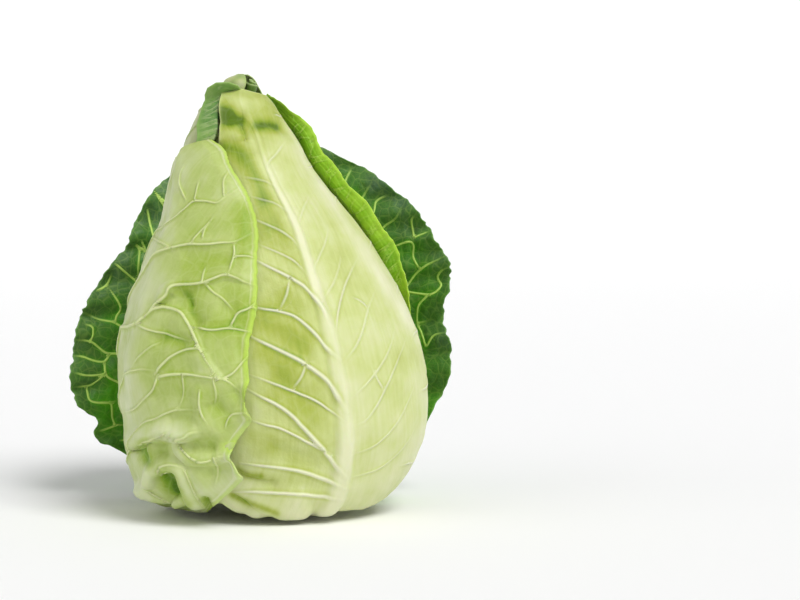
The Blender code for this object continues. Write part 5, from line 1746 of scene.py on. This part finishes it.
def stalk_finish():
    """Cream pith, a pale ring, a thin line that dried brown, and a green-white rind."""
    material = bpy.data.materials.new("cut_cabbage_stalk")
    material.use_nodes = True
    tree = material.node_tree
    shader = tree.nodes["Principled BSDF"]
    place = add(tree, "ShaderNodeTexCoord").outputs["Object"]
    level = add(tree, VECTOR_MATH, {0: place, 1: (1.0, 1.0, 0.0)}, operation="MULTIPLY")
    radius = add(tree, VECTOR_MATH, {0: level}, operation="LENGTH").outputs["Value"]
    blotch = add(tree, NOISE, {"Vector": place, "Scale": STALK_CLOUDS, "Detail": 4.0})
    shift = add(tree, MAP_RANGE, {0: blotch, 1: LOW, 2: HIGH, 3: -STALK_UNEVEN, 4: STALK_UNEVEN})
    uneven = add(tree, MATH, {0: radius, 1: shift}, operation="ADD")
    share = add(tree, MATH, {0: uneven, 1: STALK_RADIUS}, operation="DIVIDE")
    ramp = add(tree, "ShaderNodeValToRGB", {"Fac": share})
    ramp.color_ramp.elements[0].color = colour("#e9e6c6")
    ramp.color_ramp.elements[1].color = colour("#b9c48c")
    for at, code in ((0.6, "#e4e0b8"), (0.72, "#cfd3a0"), (0.82, "#dcdcae"), (0.93, "#b79c66")):
        ramp.color_ramp.elements.new(at).color = colour(code)
    fibres = add(tree, VECTOR_MATH, {0: place, 1: (1.0, 1.0, 0.12)}, operation="MULTIPLY")
    strands = add(tree, NOISE, {"Vector": fibres, "Scale": STRAND_SCALE, "Detail": 3.0})
    streak = add(tree, MAP_RANGE, {0: strands, 1: 0.35, 2: 0.65, 3: 0.0, 4: 0.3})
    fibrous = add(tree, "ShaderNodeMix", {0: streak, 6: ramp.outputs["Color"], 7: colour("#a8a672")},
                  data_type="RGBA").outputs[2]
    tree.links.new(fibrous, shader.inputs["Base Color"])
    rough = add(tree, MAP_RANGE, {0: blotch, 1: LOW, 2: HIGH, 3: 0.5, 4: 0.72})
    tree.links.new(rough.outputs[0], shader.inputs["Roughness"])
    bump = add(tree, "ShaderNodeBump", {"Height": strands, "Strength": 0.5, "Distance": 0.0004})
    tree.links.new(bump.outputs[0], shader.inputs["Normal"])
    for socket, value in (("IOR", 1.4), ("Subsurface Weight", 0.2), ("Subsurface Radius", (1.0, 0.9, 0.5)),
                          ("Subsurface Scale", 0.0007)):
        shader.inputs[socket].default_value = value
    return material


# Cut cabbage stalk: wet, fibrous and cream-coloured, dried brown in a thin line inside the rind.
STALK_FINISH = stalk_finish()
print("stalk material", STALK_FINISH.name)

# %% Stalk
def stub_waver(angle):
    """How far the stub is out of round."""
    return 1 + 0.012 * math.sin(5 * angle) + 0.008 * math.sin(13 * angle + 1)


stub_points, stub_faces = turned_profile(STUB_PROFILE, STUB_TURNS, stub_waver)
stub_faces.append(tuple(reversed(range(len(stub_points) - STUB_TURNS, len(stub_points)))))
stub_mesh = bpy.data.meshes.new("stub")
stub_mesh.from_pydata(np.array(stub_points) * MM, [], stub_faces)
stub = linked("stub", stub_mesh)
give_tree(stub, "Bundles", BUNDLE_TREE, {"Finish": STALK_FINISH})
stalk = plain_mesh(stub, "cut_stub")
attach(stalk, "root")
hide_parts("stalk")
print("stalk", len(stalk.data.polygons), "faces")
